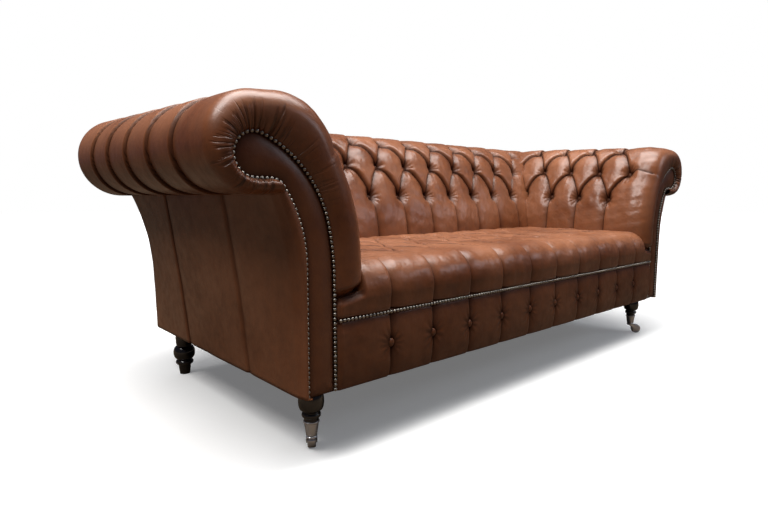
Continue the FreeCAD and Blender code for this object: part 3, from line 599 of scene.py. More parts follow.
def nail_line():
    """Line of nails round a scroll facing, from the inside foot over the scroll to the outside foot."""
    scroll, radius = (-0.101, 0.6575), 0.0435
    brow_radius, release, brow_end = 0.250, 68.0, 11.0
    neck, neck_start, neck_angle, throat_radius = 0.283, 0.440, 31.0, 0.035
    turn = math.radians(neck_angle)
    floor = scroll[1] - radius
    rise = floor - throat_radius - neck_start - (neck - throat_radius) * math.sin(turn)
    run = rise / math.cos(turn)
    throat_u = nail_outer - neck - run * math.sin(turn)
    throat = (throat_u + (neck - throat_radius) * math.cos(turn), floor - throat_radius)
    away = radius - brow_radius
    way = math.radians(release)
    brow = (scroll[0] + away * math.cos(way), scroll[1] + away * math.sin(way))
    shin_top = (brow[0] + brow_radius * math.cos(math.radians(brow_end)),
                brow[1] + brow_radius * math.sin(math.radians(brow_end)))
    shin = (nail_inner - shin_top[0]) / (1 - math.cos(math.radians(brow_end)))
    shin_centre = (nail_inner - shin, shin_top[1] - shin * math.sin(math.radians(brow_end)))
    return join_points([
        line_points((nail_inner, base_z), (nail_inner, shin_centre[1]), 60),
        arc_points(shin_centre, shin, 0, brow_end, 40),
        arc_points(brow, brow_radius, brow_end, release, 60),
        arc_points(scroll, radius, release, 270, 80),
        line_points((scroll[0], floor), (throat[0], floor), 4),
        arc_points(throat, throat_radius, 90, neck_angle, 20),
        line_points((throat[0] + throat_radius * math.cos(turn), throat[1] + throat_radius * math.sin(turn)),
                    (nail_outer - neck + neck * math.cos(turn), neck_start + neck * math.sin(turn)), 6),
        arc_points((nail_outer - neck, neck_start), neck, neck_angle, 0, 50),
        line_points((nail_outer, neck_start), (nail_outer, base_z), 70),
    ])


def even_points(points, step):
    """Points along a run at an even pitch."""
    lengths = run_length(points)
    count = int(round(lengths[-1] / step))
    places = (np.arange(count) + 0.5) * lengths[-1] / count
    return np.stack([np.interp(places, lengths, points[:, k]) for k in range(points.shape[1])], -1)


def place_arm(side, u, y, z):
    """Points of an arm from distance in, depth and height."""
    return np.stack([side * (half_length - u), y, z], -1)


def round_corner(points):
    """Rear corners of the rolls rounded in plan, where the arms' rolls meet the back's."""
    reach = half_length + arm["overhang"]
    rear = rear_y + back["overhang"]
    dx = abs(points[..., 0]) - (reach - corner_radius)
    dy = points[..., 1] - (rear - corner_radius)
    inside = (dx > 0) & (dy > 0)
    square = np.maximum(dx, dy)
    circle = np.hypot(dx, dy)
    scale = np.where(inside, square / np.maximum(circle, 1e-9), 1.0)
    out = points.copy()
    sign = np.sign(points[..., 0])
    out[..., 0] = np.where(inside, sign * (reach - corner_radius + dx * scale), points[..., 0])
    out[..., 1] = np.where(inside, rear - corner_radius + dy * scale, points[..., 1])
    return out


def wing_line(u):
    """Height at which the seat's lip ends under the arm's front rim, from the nails inwards."""
    return 0.359 + 0.014 * np.clip((u - nail_inner) / (arm["inner"] - nail_inner), 0, 1)


def rim_columns(side, front):
    """Round front edge of an arm, from the line of nails out to the section."""
    across = np.gradient(front, axis=0)
    normal = np.stack([across[:, 1], -across[:, 0]], -1)
    normal /= np.linalg.norm(normal, axis=1, keepdims=True)
    line = nail_line()
    lengths = run_length(line)
    low = front[0, 1]
    first = int(np.argmin(abs(line[:60, 1] - low)))
    last = int(np.argmin(np.hypot(line[:, 0] + 0.060, line[:, 1] - 0.603)))
    probe = front - normal * 0.045
    nearest = np.array([np.argmin(np.hypot(line[:, 0] - u, line[:, 1] - z)) for u, z in probe])
    nearest = np.clip(np.maximum.accumulate(np.maximum(nearest, first)), first, last)
    along = np.convolve(np.pad(lengths[nearest], 7, mode="edge"), np.ones(15) / 15, mode="valid")
    along[0] = lengths[first]
    nails = np.stack([np.interp(along, lengths, line[:, k]) for k in (0, 1)], -1)
    width = np.linalg.norm(nails - front, axis=1)
    bend = np.clip(0.036 / width, 0.25, 0.62)
    peak = front_y - front_puff
    columns = []
    for turn in np.linspace(90, 0, 12)[:-1]:
        share = bend + (1 - bend) * math.sin(math.radians(turn))
        fall = (front_puff + 0.001) * (1 - math.cos(math.radians(turn)))
        columns.append((share, np.full(len(front), peak + fall)))
    for turn in np.linspace(90, 0, 12)[:-1]:
        share = bend * (1 - math.cos(math.radians(turn)))
        columns.append((share, np.full(len(front), rim_back_y - rim_depth * math.sin(math.radians(turn)))))
    grid = []
    for share, y in columns:
        here = front + (nails - front) * share[:, None]
        edge = wing_line(here[:, 0])
        tuck = smooth(0.026, -0.002, here[:, 1] - edge) * (here[:, 0] > nail_inner - 0.01)
        grid.append(place_arm(side, here[:, 0], y + 0.026 * tuck, here[:, 1]))
    return np.stack(grid, 1)


def arm_leather(side, name):
    """Inside, crest and roll of an arm with its front rim gathered into the nails."""
    look = settings()
    seed = 11 if side < 0 else 23
    profiles = [rolled_profile(arm, crest, arm_foot, -0.040, look.grid)
                for crest in (arm_front_crest, back_crest)]
    mean = (profiles[0] + profiles[1]) / 2
    s = run_length(mean)
    rear_u = profiles[1][:, 0]
    back_profile = rolled_profile(back, back_crest, arm_foot, 0.0, look.grid)
    top = back_profile[:, 1].argmax()
    crest_index = profiles[1][:, 1].argmax()
    inner_v = np.interp(profiles[1][:, 1], back_profile[:top + 1, 1], back_profile[:top + 1, 0]) - 0.050
    corner_v = rear_u + arm["overhang"] - back["overhang"]
    end_v = np.where(np.arange(len(rear_u)) < crest_index, np.maximum(inner_v, 0.025), corner_v)
    end_y = rear_y - end_v
    count = int(round((rear_y - rim_back_y) / look.grid))
    t = np.linspace(0, 1, count + 1)
    y = rim_back_y + (end_y[:, None] - rim_back_y) * t[None, :]
    share = np.clip((y - rim_back_y) / (rear_y - rim_back_y), 0, 1.15)
    change = (profiles[1] - profiles[0])[:, None, :]
    section = profiles[0][:, None, :] + change * share[..., None]
    body = place_arm(side, section[..., 0], y, section[..., 1])
    rim = rim_columns(side, profiles[0])
    grid = np.concatenate([rim, body], 1)

    steps = np.linalg.norm(np.diff(np.concatenate([rim, body[:, :1]], 1), axis=1), axis=-1)
    behind = np.cumsum(steps[:, ::-1], axis=1)[:, ::-1]
    p = np.concatenate([y[:, :1] - front_y - behind, y - front_y], 1)
    ss = np.repeat(s[:, None], p.shape[1], 1)
    low_s, mid_s, high_s = (row_place(mean, rows[key]) for key in ("low", "middle", "high"))
    crest_s = s[crest_index]
    low_p = [arm_first + arm_pitch * (k + 0.5) for k in range(4)]
    mid_p = [arm_first + arm_pitch * k for k in range(5)]
    high_p = [arm_first + arm_pitch * (k + 0.5) for k in range(5)]
    folds = inner_folds(low_s, mid_s, high_s, s[-1], low_p, mid_p, high_p,
                        arm_pitch * button_reach, roll_pleats, -1)
    run = ((mid_s, mid_p[0]), (mid_s + 0.012, 0.055), (mid_s + 0.004, 0.0))
    folds.append((run, look.fold * 0.4, 0.003, 0.014))
    pits = staggered(low_s, low_p) + staggered(mid_s, mid_p) + staggered(high_s, high_p)
    crown = crown_over(ss, high_s, crest_s) * smooth(-0.035, 0.060, p)
    centre = np.array(arm_middle) * (side, 1, 1)
    moved, painted_shade, worn, heads = tufted(grid, ss, p, folds, pits, crown, seed, lambda g: g - centre, look.pit)

    rng = np.random.default_rng(seed + 5)
    gathers = np.zeros(ss.shape)
    start = p[:, :1]
    for _ in range(gather_count):
        place = crest_s - 0.03 + (s[-1] - crest_s) * rng.uniform(0, 1) ** 0.8
        width = rng.uniform(0.0010, 0.0026)
        reach = rng.uniform(0.018, 0.060)
        skew = rng.uniform(-0.25, 0.25)
        line = np.exp(-((ss - place - skew * (p - start)) / width) ** 2)
        gathers += line * smooth(reach + 0.012, reach * 0.3, p - start) * rng.uniform(0.4, 1)
    gathers = np.clip(gathers, 0, 1.3)
    normals = grid_normals(grid)
    if np.sum(normals * (grid - centre)) < 0:
        normals = -normals
    moved = moved - normals * (gathers * 0.0024)[..., None]
    # Painted shade in the gathers and where the rim tucks under the nails
    painted_shade = np.clip(painted_shade + gathers * 0.45 + 0.7 * np.exp(-(p - start) / 0.004), 0, 1)
    moved = round_corner(moved)
    # Wear on the crowns, and also painted top light along the crest
    worn = np.clip(worn * 0.3 + smooth(0.66, 0.77, moved[..., 2]) * 0.8, 0, 1)
    # Gather mask for the shader: bumps and painted shade in the rim's creases
    uneven = ripple(np.stack([ss, p * 0.2], -1), 0.03, seed + 9) * 0.018
    over_crest = 0.25 + 0.75 * smooth(crest_s - 0.09, crest_s - 0.01, ss)
    gather = smooth(0.070, 0.020, p - start + uneven) * over_crest
    gather *= smooth(low_s, mid_s, ss)
    thing = grid_mesh("arm_leather_" + name, moved, {
        "fold": painted_shade, "worn": worn, "gather": gather,
        "gather_along": ss * 115 + (p - start) * 9, "gather_across": (p - start) * 11}, flip=side > 0)
    return thing, [head for head, pit in zip(heads, pits) if pit[1] < 0.62]


def surface_normals_out(thing, centre):
    """Turn a sheet's faces to look away from a point."""
    mesh = thing.data
    total = 0.0
    for face in mesh.polygons:
        total += face.normal.dot(face.center - Vector(centre)) * face.area
    if total < 0:
        mesh.flip_normals()


def scatter(name, places, radius, height, segments, rings, material,
            nodes=(), shade=0.0):
    """Domed heads set on points by a node tree, facing along each point's normal."""
    mesh = bpy.data.meshes.new(name)
    mesh.from_pydata([tuple(point) for point, _ in places], [], [])
    facing = mesh.attributes.new("facing", "FLOAT_VECTOR", "POINT")
    facing.data.foreach_set("vector", np.array([normal for _, normal in places], np.float32).ravel())
    carrier = bpy.data.objects.new(name + "_points", mesh)
    bpy.context.scene.collection.objects.link(carrier)
    tree = head_tree(segments, rings)
    modifier = carrier.modifiers.new("heads", "NODES")
    modifier.node_group = tree
    identifiers = {item.name: item.identifier for item in tree.interface.items_tree
                   if item.item_type == "SOCKET"}
    modifier[identifiers["Radius"]] = radius
    modifier[identifiers["Height"]] = height
    modifier[identifiers["Material"]] = material
    depsgraph = bpy.context.evaluated_depsgraph_get()
    plain = bpy.data.meshes.new_from_object(carrier.evaluated_get(depsgraph))
    carrier.modifiers.remove(modifier)
    bpy.data.objects.remove(carrier)
    plain.polygons.foreach_set("use_smooth", [True] * len(plain.polygons))
    thing = bpy.data.objects.new(name, plain)
    bpy.context.scene.collection.objects.link(thing)
    # Painted shade on the heads, as much as the shade argument gives
    layer = plain.attributes.new("fold", "FLOAT", "POINT")
    layer.data.foreach_set("value", np.full(len(plain.vertices), shade, np.float32))
    return finish_piece(thing, material, nodes)


def head_tree(segments, rings):
    """Node tree that sets a domed head on each point."""
    name = "heads %d %d" % (segments, rings)
    found = bpy.data.node_groups.get(name)
    if found:
        return found
    tree = bpy.data.node_groups.new(name, "GeometryNodeTree")
    face = tree.interface
    face.new_socket("Geometry", in_out="INPUT", socket_type="NodeSocketGeometry")
    face.new_socket("Radius", in_out="INPUT", socket_type="NodeSocketFloat")
    face.new_socket("Height", in_out="INPUT", socket_type="NodeSocketFloat")
    face.new_socket("Material", in_out="INPUT", socket_type="NodeSocketMaterial")
    face.new_socket("Geometry", in_out="OUTPUT", socket_type="NodeSocketGeometry")
    nodes, links = tree.nodes, tree.links
    start = nodes.new("NodeGroupInput")
    end = nodes.new("NodeGroupOutput")
    ball = nodes.new("GeometryNodeMeshUVSphere")
    ball.inputs["Segments"].default_value = segments
    ball.inputs["Rings"].default_value = rings
    ball.inputs["Radius"].default_value = 1.0
    size = nodes.new("ShaderNodeCombineXYZ")
    shaped = nodes.new("GeometryNodeTransform")
    facing = nodes.new("GeometryNodeInputNamedAttribute")
    facing.data_type = "FLOAT_VECTOR"
    facing.inputs["Name"].default_value = "facing"
    aim = nodes.new("FunctionNodeAlignRotationToVector")
    aim.axis = "Z"
    spread = nodes.new("GeometryNodeInstanceOnPoints")
    real = nodes.new("GeometryNodeRealizeInstances")
    paint = nodes.new("GeometryNodeSetMaterial")
    links.new(start.outputs["Radius"], size.inputs["X"])
    links.new(start.outputs["Radius"], size.inputs["Y"])
    links.new(start.outputs["Height"], size.inputs["Z"])
    links.new(ball.outputs["Mesh"], shaped.inputs["Geometry"])
    links.new(size.outputs["Vector"], shaped.inputs["Scale"])
    links.new(start.outputs["Geometry"], spread.inputs["Points"])
    links.new(shaped.outputs["Geometry"], spread.inputs["Instance"])
    links.new(facing.outputs["Attribute"], aim.inputs["Vector"])
    links.new(aim.outputs["Rotation"], spread.inputs["Rotation"])
    links.new(spread.outputs["Instances"], real.inputs["Geometry"])
    links.new(real.outputs["Geometry"], paint.inputs["Geometry"])
    links.new(start.outputs["Material"], paint.inputs["Material"])
    links.new(paint.outputs["Geometry"], end.inputs["Geometry"])
    return tree


class SOFA_OT_arms(bpy.types.Operator):
    """Make the buttoned leather of both arms"""
    bl_idname = "sofa.arms"
    bl_label = "Arms"

    def execute(self, context):
        look = settings()
        for name, side in SIDES:
            thing, heads = arm_leather(side, name)
            surface_normals_out(thing, np.array(arm_middle) * (side, 1, 1))
            finish_piece(thing, leather_material(),
                         ("arm_cover_" + name, "arm_pad_" + name))
            scatter("arm_button_heads_" + name, heads, look.button_radius, button_height, 16, 8,
                    leather_material(), ("arm_buttons_" + name,), 0.75)
        return {"FINISHED"}


class SOFA_OT_back(bpy.types.Operator):
    """Make the buttoned leather of the back"""
    bl_idname = "sofa.back"
    bl_label = "Back"

    def execute(self, context):
        look = settings()
        profile = rolled_profile(back, back_crest, back_foot, -0.020, look.grid)
        s = run_length(profile)
        crest_index = profile[:, 1].argmax()
        arm_profile = rolled_profile(arm, back_crest, back_foot, 0.0, look.grid)
        top = arm_profile[:, 1].argmax()
        inner_u = np.interp(profile[:, 1], arm_profile[:top + 1, 1], arm_profile[:top + 1, 0]) - 0.050
        inner_u = np.maximum(inner_u, arm["shoulder"])
        corner = arm["overhang"] - back["overhang"]
        past = (profile[:, 0] < arm["shoulder"] + corner) & (np.arange(len(s)) >= crest_index)
        end_u = np.where(past, profile[:, 0] - corner, inner_u)
        count = int(round(2 * half_length / look.grid / 2)) * 2
        t = np.linspace(-1, 1, count + 1)
        x = (half_length - end_u)[:, None] * t[None, :]
        grid = np.stack([x, np.repeat((rear_y - profile[:, 0])[:, None], x.shape[1], 1),
                         np.repeat(profile[:, 1][:, None], x.shape[1], 1)], -1)
        ss = np.repeat(s[:, None], x.shape[1], 1)
        low_s, mid_s, high_s = (row_place(profile, rows[key]) for key in ("low", "middle", "high"))
        low_p, mid_p, high_p = (spread_places(count) for count in (10, 11, 12))
        folds = inner_folds(low_s, mid_s, high_s, s[-1], low_p, mid_p, high_p,
                            button_pitch * button_reach, high_p, 1)
        pits = staggered(low_s, low_p) + staggered(mid_s, mid_p) + staggered(high_s, high_p)
        crown = crown_over(ss, high_s, s[crest_index])
        moved, painted_shade, worn, heads = tufted(
            grid, ss, x, folds, pits, crown, 37,
            lambda g: g - np.array(back_middle)[None] * np.array([0, 1, 1]), look.pit)
        moved = round_corner(moved)
        # Wear on the crowns, and also painted top light along the crest
        worn = np.clip(worn * 0.35 + smooth(0.74, 0.82, moved[..., 2]) * 0.55, 0, 1)
        thing = grid_mesh("back_leather", moved, {"fold": painted_shade, "worn": worn})
        surface_normals_out(thing, back_middle)
        finish_piece(thing, leather_material(), ("back_cover", "back_pad"))
        shown = [head for head, pit in zip(heads, pits) if abs(pit[1]) < 0.80]
        scatter("back_button_heads", shown, look.button_radius, button_height, 16, 8,
                leather_material(), ("back_buttons",), 0.75)
        return {"FINISHED"}


def seat_path(step):
    """Side outline of the seat from the nail trim over the lip to the back."""
    front = front_y - seat_lip_overhang
    centre = (front + seat_lip_radius, seat_top - seat_lip_radius)
    return join_points([
        line_points((front + 0.012, trim_height), (front + 0.003, trim_height + 0.006), 4),
        line_points((front + 0.003, trim_height + 0.006), (front, centre[1]), int(0.033 / step) + 2),
        arc_points(centre, seat_lip_radius, 180, 90, int(0.107 / step) + 1),
        line_points((centre[0], seat_top), (rear_y - back["inner"] + 0.060, seat_top), int(0.54 / step)),
    ])


class SOFA_OT_seat(bpy.types.Operator):
    """Make the buttoned seat and its front lip"""
    bl_idname = "sofa.seat"
    bl_label = "Seat"

    def execute(self, context):
        look = settings()
        path = seat_path(look.grid)
        s = run_length(path)
        reach = half_length - nail_inner - 0.004
        count = int(round(2 * reach / look.grid / 2)) * 2
        x = np.linspace(-reach, reach, count + 1)
        ss, pp = np.meshgrid(s, x, indexing="ij")
        grid = np.stack([pp, np.repeat(path[:, 0][:, None], len(x), 1),
                         np.repeat(path[:, 1][:, None], len(x), 1)], -1)
        row_s = [float(np.interp(front_y + row, path[20:, 0], s[20:])) for row in seat_rows]
        seam, half = spread_places(10), spread_places(11)
        folds = []
        for place in seam:
            folds.append((((0.0, place), (row_s[0], place)), 0.0085, 0.0025, 0.022))
        row_p = (seam, half, seam, half)
        for index in range(3):
            for a in row_p[index]:
                for b in row_p[index + 1]:
                    if abs(a - b) < button_pitch * button_reach:
                        side = 0.004 if a < b else -0.004
                        run = bowed((row_s[index], a), (row_s[index + 1], b), 0.12)
                        folds.append((run, 0.0050, side, 0.026))
        for place in half:
            folds.append((((row_s[3], place), (s[-1], place)), 0.005, 0.004, 0.02))
        pits = []
        for index in range(4):
            pits += staggered(row_s[index], [place for place in row_p[index] if abs(place) < 0.70])
        lip_s = float(np.interp(front_y + 0.05, path[20:, 0], s[20:]))
        crown = 0.005 + 0.010 * smooth(0.02, lip_s, ss) * smooth(0.0, 0.10, ss)
        moved, painted_shade, _, heads = tufted(grid, ss, pp, folds, pits, crown, 51,
                                          lambda g: g - np.array([0, 0.0, 0.2]) * np.array([0, 1, 1]), 0.014)
        u = half_length - abs(moved[..., 0])
        wing = smooth(arm["inner"] + 0.008, arm["inner"] - 0.006, u)
        edge = wing_line(u)
        over = np.maximum(moved[..., 2] - edge, 0)
        near = smooth(edge - 0.018, edge, moved[..., 2]) * wing
        moved[..., 2] -= wing * over
        moved[..., 1] += near * 0.010 + smooth(nail_inner + 0.014, nail_inner + 0.002, u) * 0.012
        # Painted shade where the seat tucks under the arms' rims and along the trim
        painted_shade = np.clip(painted_shade + near * 0.7 * (over < 0.004) + np.exp(-ss / 0.003) * 0.8, 0, 1)
        # Painted top light and wear on the seat's top
        worn = np.clip(0.05 + smooth(0.385, 0.432, moved[..., 2]) * 0.80, 0, 1)
        thing = grid_mesh("seat_leather", moved, {"fold": painted_shade, "worn": worn})
        surface_normals_out(thing, (0, 0, 0.2))
        finish_piece(thing, leather_material(), ("seat_cover", "seat_foam"))
        scatter("seat_button_heads", heads, look.button_radius * 0.95, low_button_height, 16, 8,
                leather_material(), ("seat_buttons",), 0.3)
        return {"FINISHED"}


class SOFA_OT_front(bpy.types.Operator):
    """Make the front border under the seat with its seams and buttons"""
    bl_idname = "sofa.front"
    bl_label = "Front border"

    def execute(self, context):
        look = settings()
        reach = half_length - nail_inner - 0.004
        x = np.linspace(-reach, reach, int(2 * reach / look.grid))
        rise = trim_height - base_z
        q = np.concatenate([np.linspace(-0.020, 0.0, 5), np.linspace(0.0, rise, int(rise / look.grid))[1:]])
        height = np.where(q < 0, base_z - 0.001, base_z + q)
        inset = np.where(q < 0, -q, 0.0)
        ss, pp = np.meshgrid(q, x, indexing="ij")
        middle = 0.5 * rise
        bulge = 0.009 * (1 - abs((np.clip(q, 0, rise) - middle) / middle) ** 3)
        y = front_y + inset - bulge - 0.001 + 0.007 * smooth(rise - 0.012, rise, q)
        grid = np.stack([pp, np.repeat(y[:, None], len(x), 1), np.repeat(height[:, None], len(x), 1)], -1)
        seam = spread_places(10)
        folds = [(((-0.02, place), (rise, place)), 0.0085, 0.002, 0.016) for place in seam]
        pits = staggered(border_button_height - base_z, seam)
        crown = 0.0045 * smooth(-0.004, 0.006, ss)
        moved, painted_shade, _, heads = tufted(grid, ss, pp, folds, pits, crown, 67,
                                          lambda g: np.array([0, -1.0, 0]) + g * 0, 0.003)
        floor = base_z - 0.001
        moved[..., 2] = np.where(ss < 0.001, floor, np.maximum(moved[..., 2], floor))
        u = half_length - abs(moved[..., 0])
        moved[..., 1] += smooth(nail_inner + 0.014, nail_inner + 0.002, u) * 0.008
        # Painted shade: the whole front face darker, and a dark band under the trim where it is shaded
        painted_shade = np.clip(0.22 + painted_shade + 0.9 * smooth(rise - 0.014, rise - 0.004, ss), 0, 1)
        thing = grid_mesh("front_border_leather", moved, {"fold": painted_shade, "worn": np.full(painted_shade.shape, 0.03)})
        surface_normals_out(thing, (0, 0, 0.24))
        finish_piece(thing, leather_material(), ("front_border",))
        heads = [((place, front_y - 0.0085, border_button_height), (0, -1, 0)) for place in seam]
        scatter("border_button_heads", heads, look.button_radius, low_button_height, 16, 8,
                leather_material(), ("border_buttons",), 0.3)
        return {"FINISHED"}


def flare(z, top=roll_underside):
    """Outward lean of the outside covers at a height."""
    radius, run = 0.600, 0.052
    start = top - math.sqrt(radius ** 2 - (radius - run) ** 2)
    rise = np.clip(z - start, 0, None)
    return radius - np.sqrt(np.maximum(radius ** 2 - rise ** 2, 0))


class SOFA_OT_outside(bpy.types.Operator):
    """Make the outside panels of the arms and the back"""
    bl_idname = "sofa.outside"
    bl_label = "Outside panels"

    def execute(self, context):
        depth = rear_y - front_y
        top = roll_underside + 0.006
        rise = np.linspace(base_z, top, int((top - base_z) / 0.008))
        z = np.concatenate([[base_z - 0.001, base_z - 0.001], rise])
        tuck = np.concatenate([[0.020, 0.006], np.zeros(len(z) - 2)])
        y = np.linspace(0.0, depth, int(depth / 0.0045))
        zz, yy = np.meshgrid(z, y, indexing="ij")
        belly = np.sin(np.clip(yy / depth, 0, 1) * math.pi) ** 0.6
        straight = 0.055 * np.clip((zz - base_z) / (roll_underside - base_z), 0, 1)
        lean = flare(zz) * (1 - belly) + np.maximum(straight, flare(zz)) * belly
        seam_depth = np.zeros(zz.shape)
        for seam in outside_seams:
            d = yy - seam
            cut = np.where(d > 0, np.exp(-d / 0.003), np.exp(d / 0.018))
            seam_depth = np.maximum(seam_depth, cut)
        puff = 0.005 * (1 - seam_depth) * smooth(0.0, 0.02, yy) * smooth(depth, depth - 0.02, yy)
        for name, side in SIDES:
            wave = ripple(np.stack([zz, yy], -1), 0.3, 71 + side) * 0.0012
            u = -(lean + puff + wave) + tuck[:, None]
            meet = flare(zz) * 0.4 * smooth(depth - 0.09, depth, yy)
            grid = place_arm(side, u, front_y + yy + meet, zz)
            # front edge turned in to the nails
            line = nail_line()
            outer = line[len(line) // 2:]
            edge_u = np.interp(z, outer[::-1, 1], outer[::-1, 0])
            edge_u = np.where(z < base_z + 0.001, nail_outer, edge_u)
            columns = []
            for share in np.linspace(1, 0, 7)[:-1]:
                turn = math.pi / 2 * share
                reach = np.minimum(edge_u - u[:, 0], 0.5)
                here = u[:, 0] + reach * (1 - math.cos(turn))
                bulge = 0.010 * math.sin(turn) - 0.004 * smooth(0.7, 1.0, share)
                columns.append(place_arm(side, here, np.full(len(z), front_y - bulge), z))
            grid = np.concatenate([np.stack(columns, 1), grid], 1)
            # Painted shade in the seams
            painted_shade = np.concatenate([np.zeros((len(z), len(columns))), seam_depth ** 3], 1)
            worn = np.full(painted_shade.shape, 0.15)
            thing = grid_mesh("outside_arm_leather_" + name, grid, {"fold": painted_shade * 0.8, "worn": worn})
            surface_normals_out(thing, (0, 0, 0.35))
            finish_piece(thing, leather_material(), ("outside_arm_cover_" + name,))
        x = np.linspace(-half_length, half_length, int(2 * half_length / 0.006))
        zz, xx = np.meshgrid(z, x, indexing="ij")
        seam_depth = np.zeros(zz.shape)
        for seam in button_pitch * 2 * (np.arange(6) - 2.5):
            d = xx - seam
            seam_depth = np.maximum(seam_depth, np.where(d > 0, np.exp(-d / 0.003), np.exp(d / 0.018)))
        lean = flare(zz) * 0.4
        puff = 0.005 * (1 - seam_depth) * smooth(half_length, half_length - 0.02, abs(xx))
        widen = 1 + flare(zz) / half_length * smooth(half_length - 0.12, half_length, abs(xx))
        grid = np.stack([xx * widen, rear_y + lean + puff - tuck[:, None], zz], -1)
        # Painted shade in the seams
        thing = grid_mesh("outside_back_leather", grid,
                          {"fold": seam_depth ** 3 * 0.8, "worn": np.full(zz.shape, 0.15)})
        surface_normals_out(thing, (0, 0, 0.35))
        finish_piece(thing, leather_material(), ("outside_back_cover",))
        return {"FINISHED"}


def filled_outline(outline, step):
    """Points and triangles that fill an outline in the plane."""
    low, high = outline.min(0), outline.max(0)
    inner = []
    for a in np.arange(low[0] + step, high[0], step):
        for b in np.arange(low[1] + step, high[1], step):
            inner.append((a, b))
    inner = np.array(inner)
    inside = np.zeros(len(inner), bool)
    nxt = np.roll(outline, -1, axis=0)
    for (x0, y0), (x1, y1) in zip(outline, nxt):
        if y0 == y1:
            continue
        crosses = (inner[:, 1] > min(y0, y1)) & (inner[:, 1] <= max(y0, y1))
        at = x0 + (inner[:, 1] - y0) * (x1 - x0) / (y1 - y0)
        inside ^= crosses & (inner[:, 0] < at)
    away = np.full(len(inner), 1.0)
    for start, end in zip(outline, nxt):
        run = end - start
        length = max(run @ run, 1e-12)
        t = np.clip(((inner - start) @ run) / length, 0, 1)
        away = np.minimum(away, np.hypot(*(inner - start - t[:, None] * run).T))
    keep = inside & (away > step * 0.5)
    points = np.concatenate([outline, inner[keep]])
    distance = np.concatenate([np.zeros(len(outline)), away[keep]])
    edges = [(k, (k + 1) % len(outline)) for k in range(len(outline))]
    verts, _, faces, origin, _, _ = geometry.delaunay_2d_cdt(
        [Vector(point) for point in points], edges, [], 1, 1e-6)
    far = np.array([distance[source[0]] if source else 0.0 for source in origin])
    return np.array([tuple(v) for v in verts]), [tuple(face) for face in faces], far


class SOFA_OT_facings(bpy.types.Operator):
    """Make the padded scroll facings and the nails round them"""
    bl_idname = "sofa.facings"
    bl_label = "Facings and nails"

    def execute(self, context):
        look = settings()
        line = nail_line()
        outline = even_points(line, 0.006)
        outline = np.concatenate([line[:1], outline, line[-1:]])
        points, faces, far = filled_outline(outline, 0.006)
        dome = 0.010 * (1 - np.exp(-far / 0.016)) - 0.002
        nails = even_points(line, look.nail_pitch)
        for name, side in SIDES:
            where = place_arm(side, points[:, 0], front_y - dome, points[:, 1])
            # Painted shade: the front face darker, and darker still along the nails
            thing = make_mesh("facing_leather_" + name, where, faces,
                              {"fold": 0.24 + np.exp(-far / 0.004) * 0.6, "worn": np.full(len(far), 0.06)})
            surface_normals_out(thing, (side * half_length, front_y + 0.2, 0.45))
            finish_piece(thing, leather_material(), ("scroll_facing_" + name,))
            heads = []
            for u, z in nails:
                heads.append(((side * (half_length - u), front_y - 0.0035, z), (0, -1, 0)))
            scatter("facing_nails_" + name, heads, look.nail_radius, nail_height, 12, 6,
                    nail_metal())
        reach = half_length - nail_inner - look.nail_pitch
        count = int(2 * reach / look.nail_pitch)
        band = np.linspace(-math.pi / 2, math.pi / 2, 7)
        ends = half_length - nail_inner - 0.006
        x = np.linspace(-ends, ends, 120)
        grid = np.stack(np.broadcast_arrays(
            x[None, :], front_y - 0.004 - 0.0055 * np.cos(band)[:, None],
            trim_height - 0.004 + 0.0065 * np.sin(band)[:, None]), -1)
        # Painted shade: a dark strip where the trim's gutter is shaded
        shade = np.full(grid.shape[:2], 0.85)
        thing = grid_mesh("trim_band", grid, {"fold": shade, "worn": shade * 0})
        surface_normals_out(thing, (0, 0, trim_height))
        finish_piece(thing, leather_material())
        heads = [((x, front_y - 0.0110, trim_height - 0.004), (0, -1, 0))
                 for x in np.linspace(-reach, reach, count)]
        scatter("trim_nails", heads, look.nail_radius, nail_height, 12, 6,
                    nail_metal())
        return {"FINISHED"}


def lathe(name, outline, place, material, nodes, body=SOFA, segments=48):
    """Piece turned about an axis from radius and height points. A placing function sets it in space."""
    outline = np.array(outline)
    turns = np.linspace(0, 2 * math.pi, segments, endpoint=False)
    points = []
    for radius, height in outline:
        for turn in turns:
            points.append(place(radius * math.cos(turn), radius * math.sin(turn), height))
    faces = []
    for i in range(len(outline) - 1):
        for j in range(segments):
            a, b = i * segments + j, i * segments + (j + 1) % segments
            faces.append((a, b, b + segments, a + segments))
    faces.append(tuple(range(segments)))
    faces.append(tuple(range((len(outline) - 1) * segments, len(outline) * segments)))
    return closed_piece(name, points, faces, material, nodes, body)


def closed_piece(name, points, faces, material, nodes, body=SOFA, smooth_faces=True):
    """Closed mesh piece with its faces outward."""
    thing = make_mesh(name, points, faces)
    mesh = bmesh.new()
    mesh.from_mesh(thing.data)
    bmesh.ops.recalc_face_normals(mesh, faces=mesh.faces)
    mesh.to_mesh(thing.data)
    mesh.free()
    thing.data.polygons.foreach_set("use_smooth", [smooth_faces] * len(thing.data.polygons))
    return finish_piece(thing, material, nodes, body)


def upright(x, y):
    """Placing function for a piece turned about an upright axis."""
    return lambda a, b, z: (x + a, y + b, z)


def level(centre, heading):
    """Placing function for a piece turned about a level axis, square to its heading."""
    along = np.array((math.cos(heading), math.sin(heading), 0))
    axle = np.array((-math.sin(heading), math.cos(heading), 0))
    return lambda a, b, c: tuple(centre + a * along + b * np.array((0, 0, 1)) + c * axle)


def bead_points(radius, z, half, bulge, steps):
    """Outline of a turned bead from its neck, middle height, half height and bulge."""
    points = []
    for step in range(steps + 1):
        angle = math.pi * (0.5 - step / steps)
        points.append((radius + bulge * math.cos(angle), z + half * math.sin(angle)))
    return points


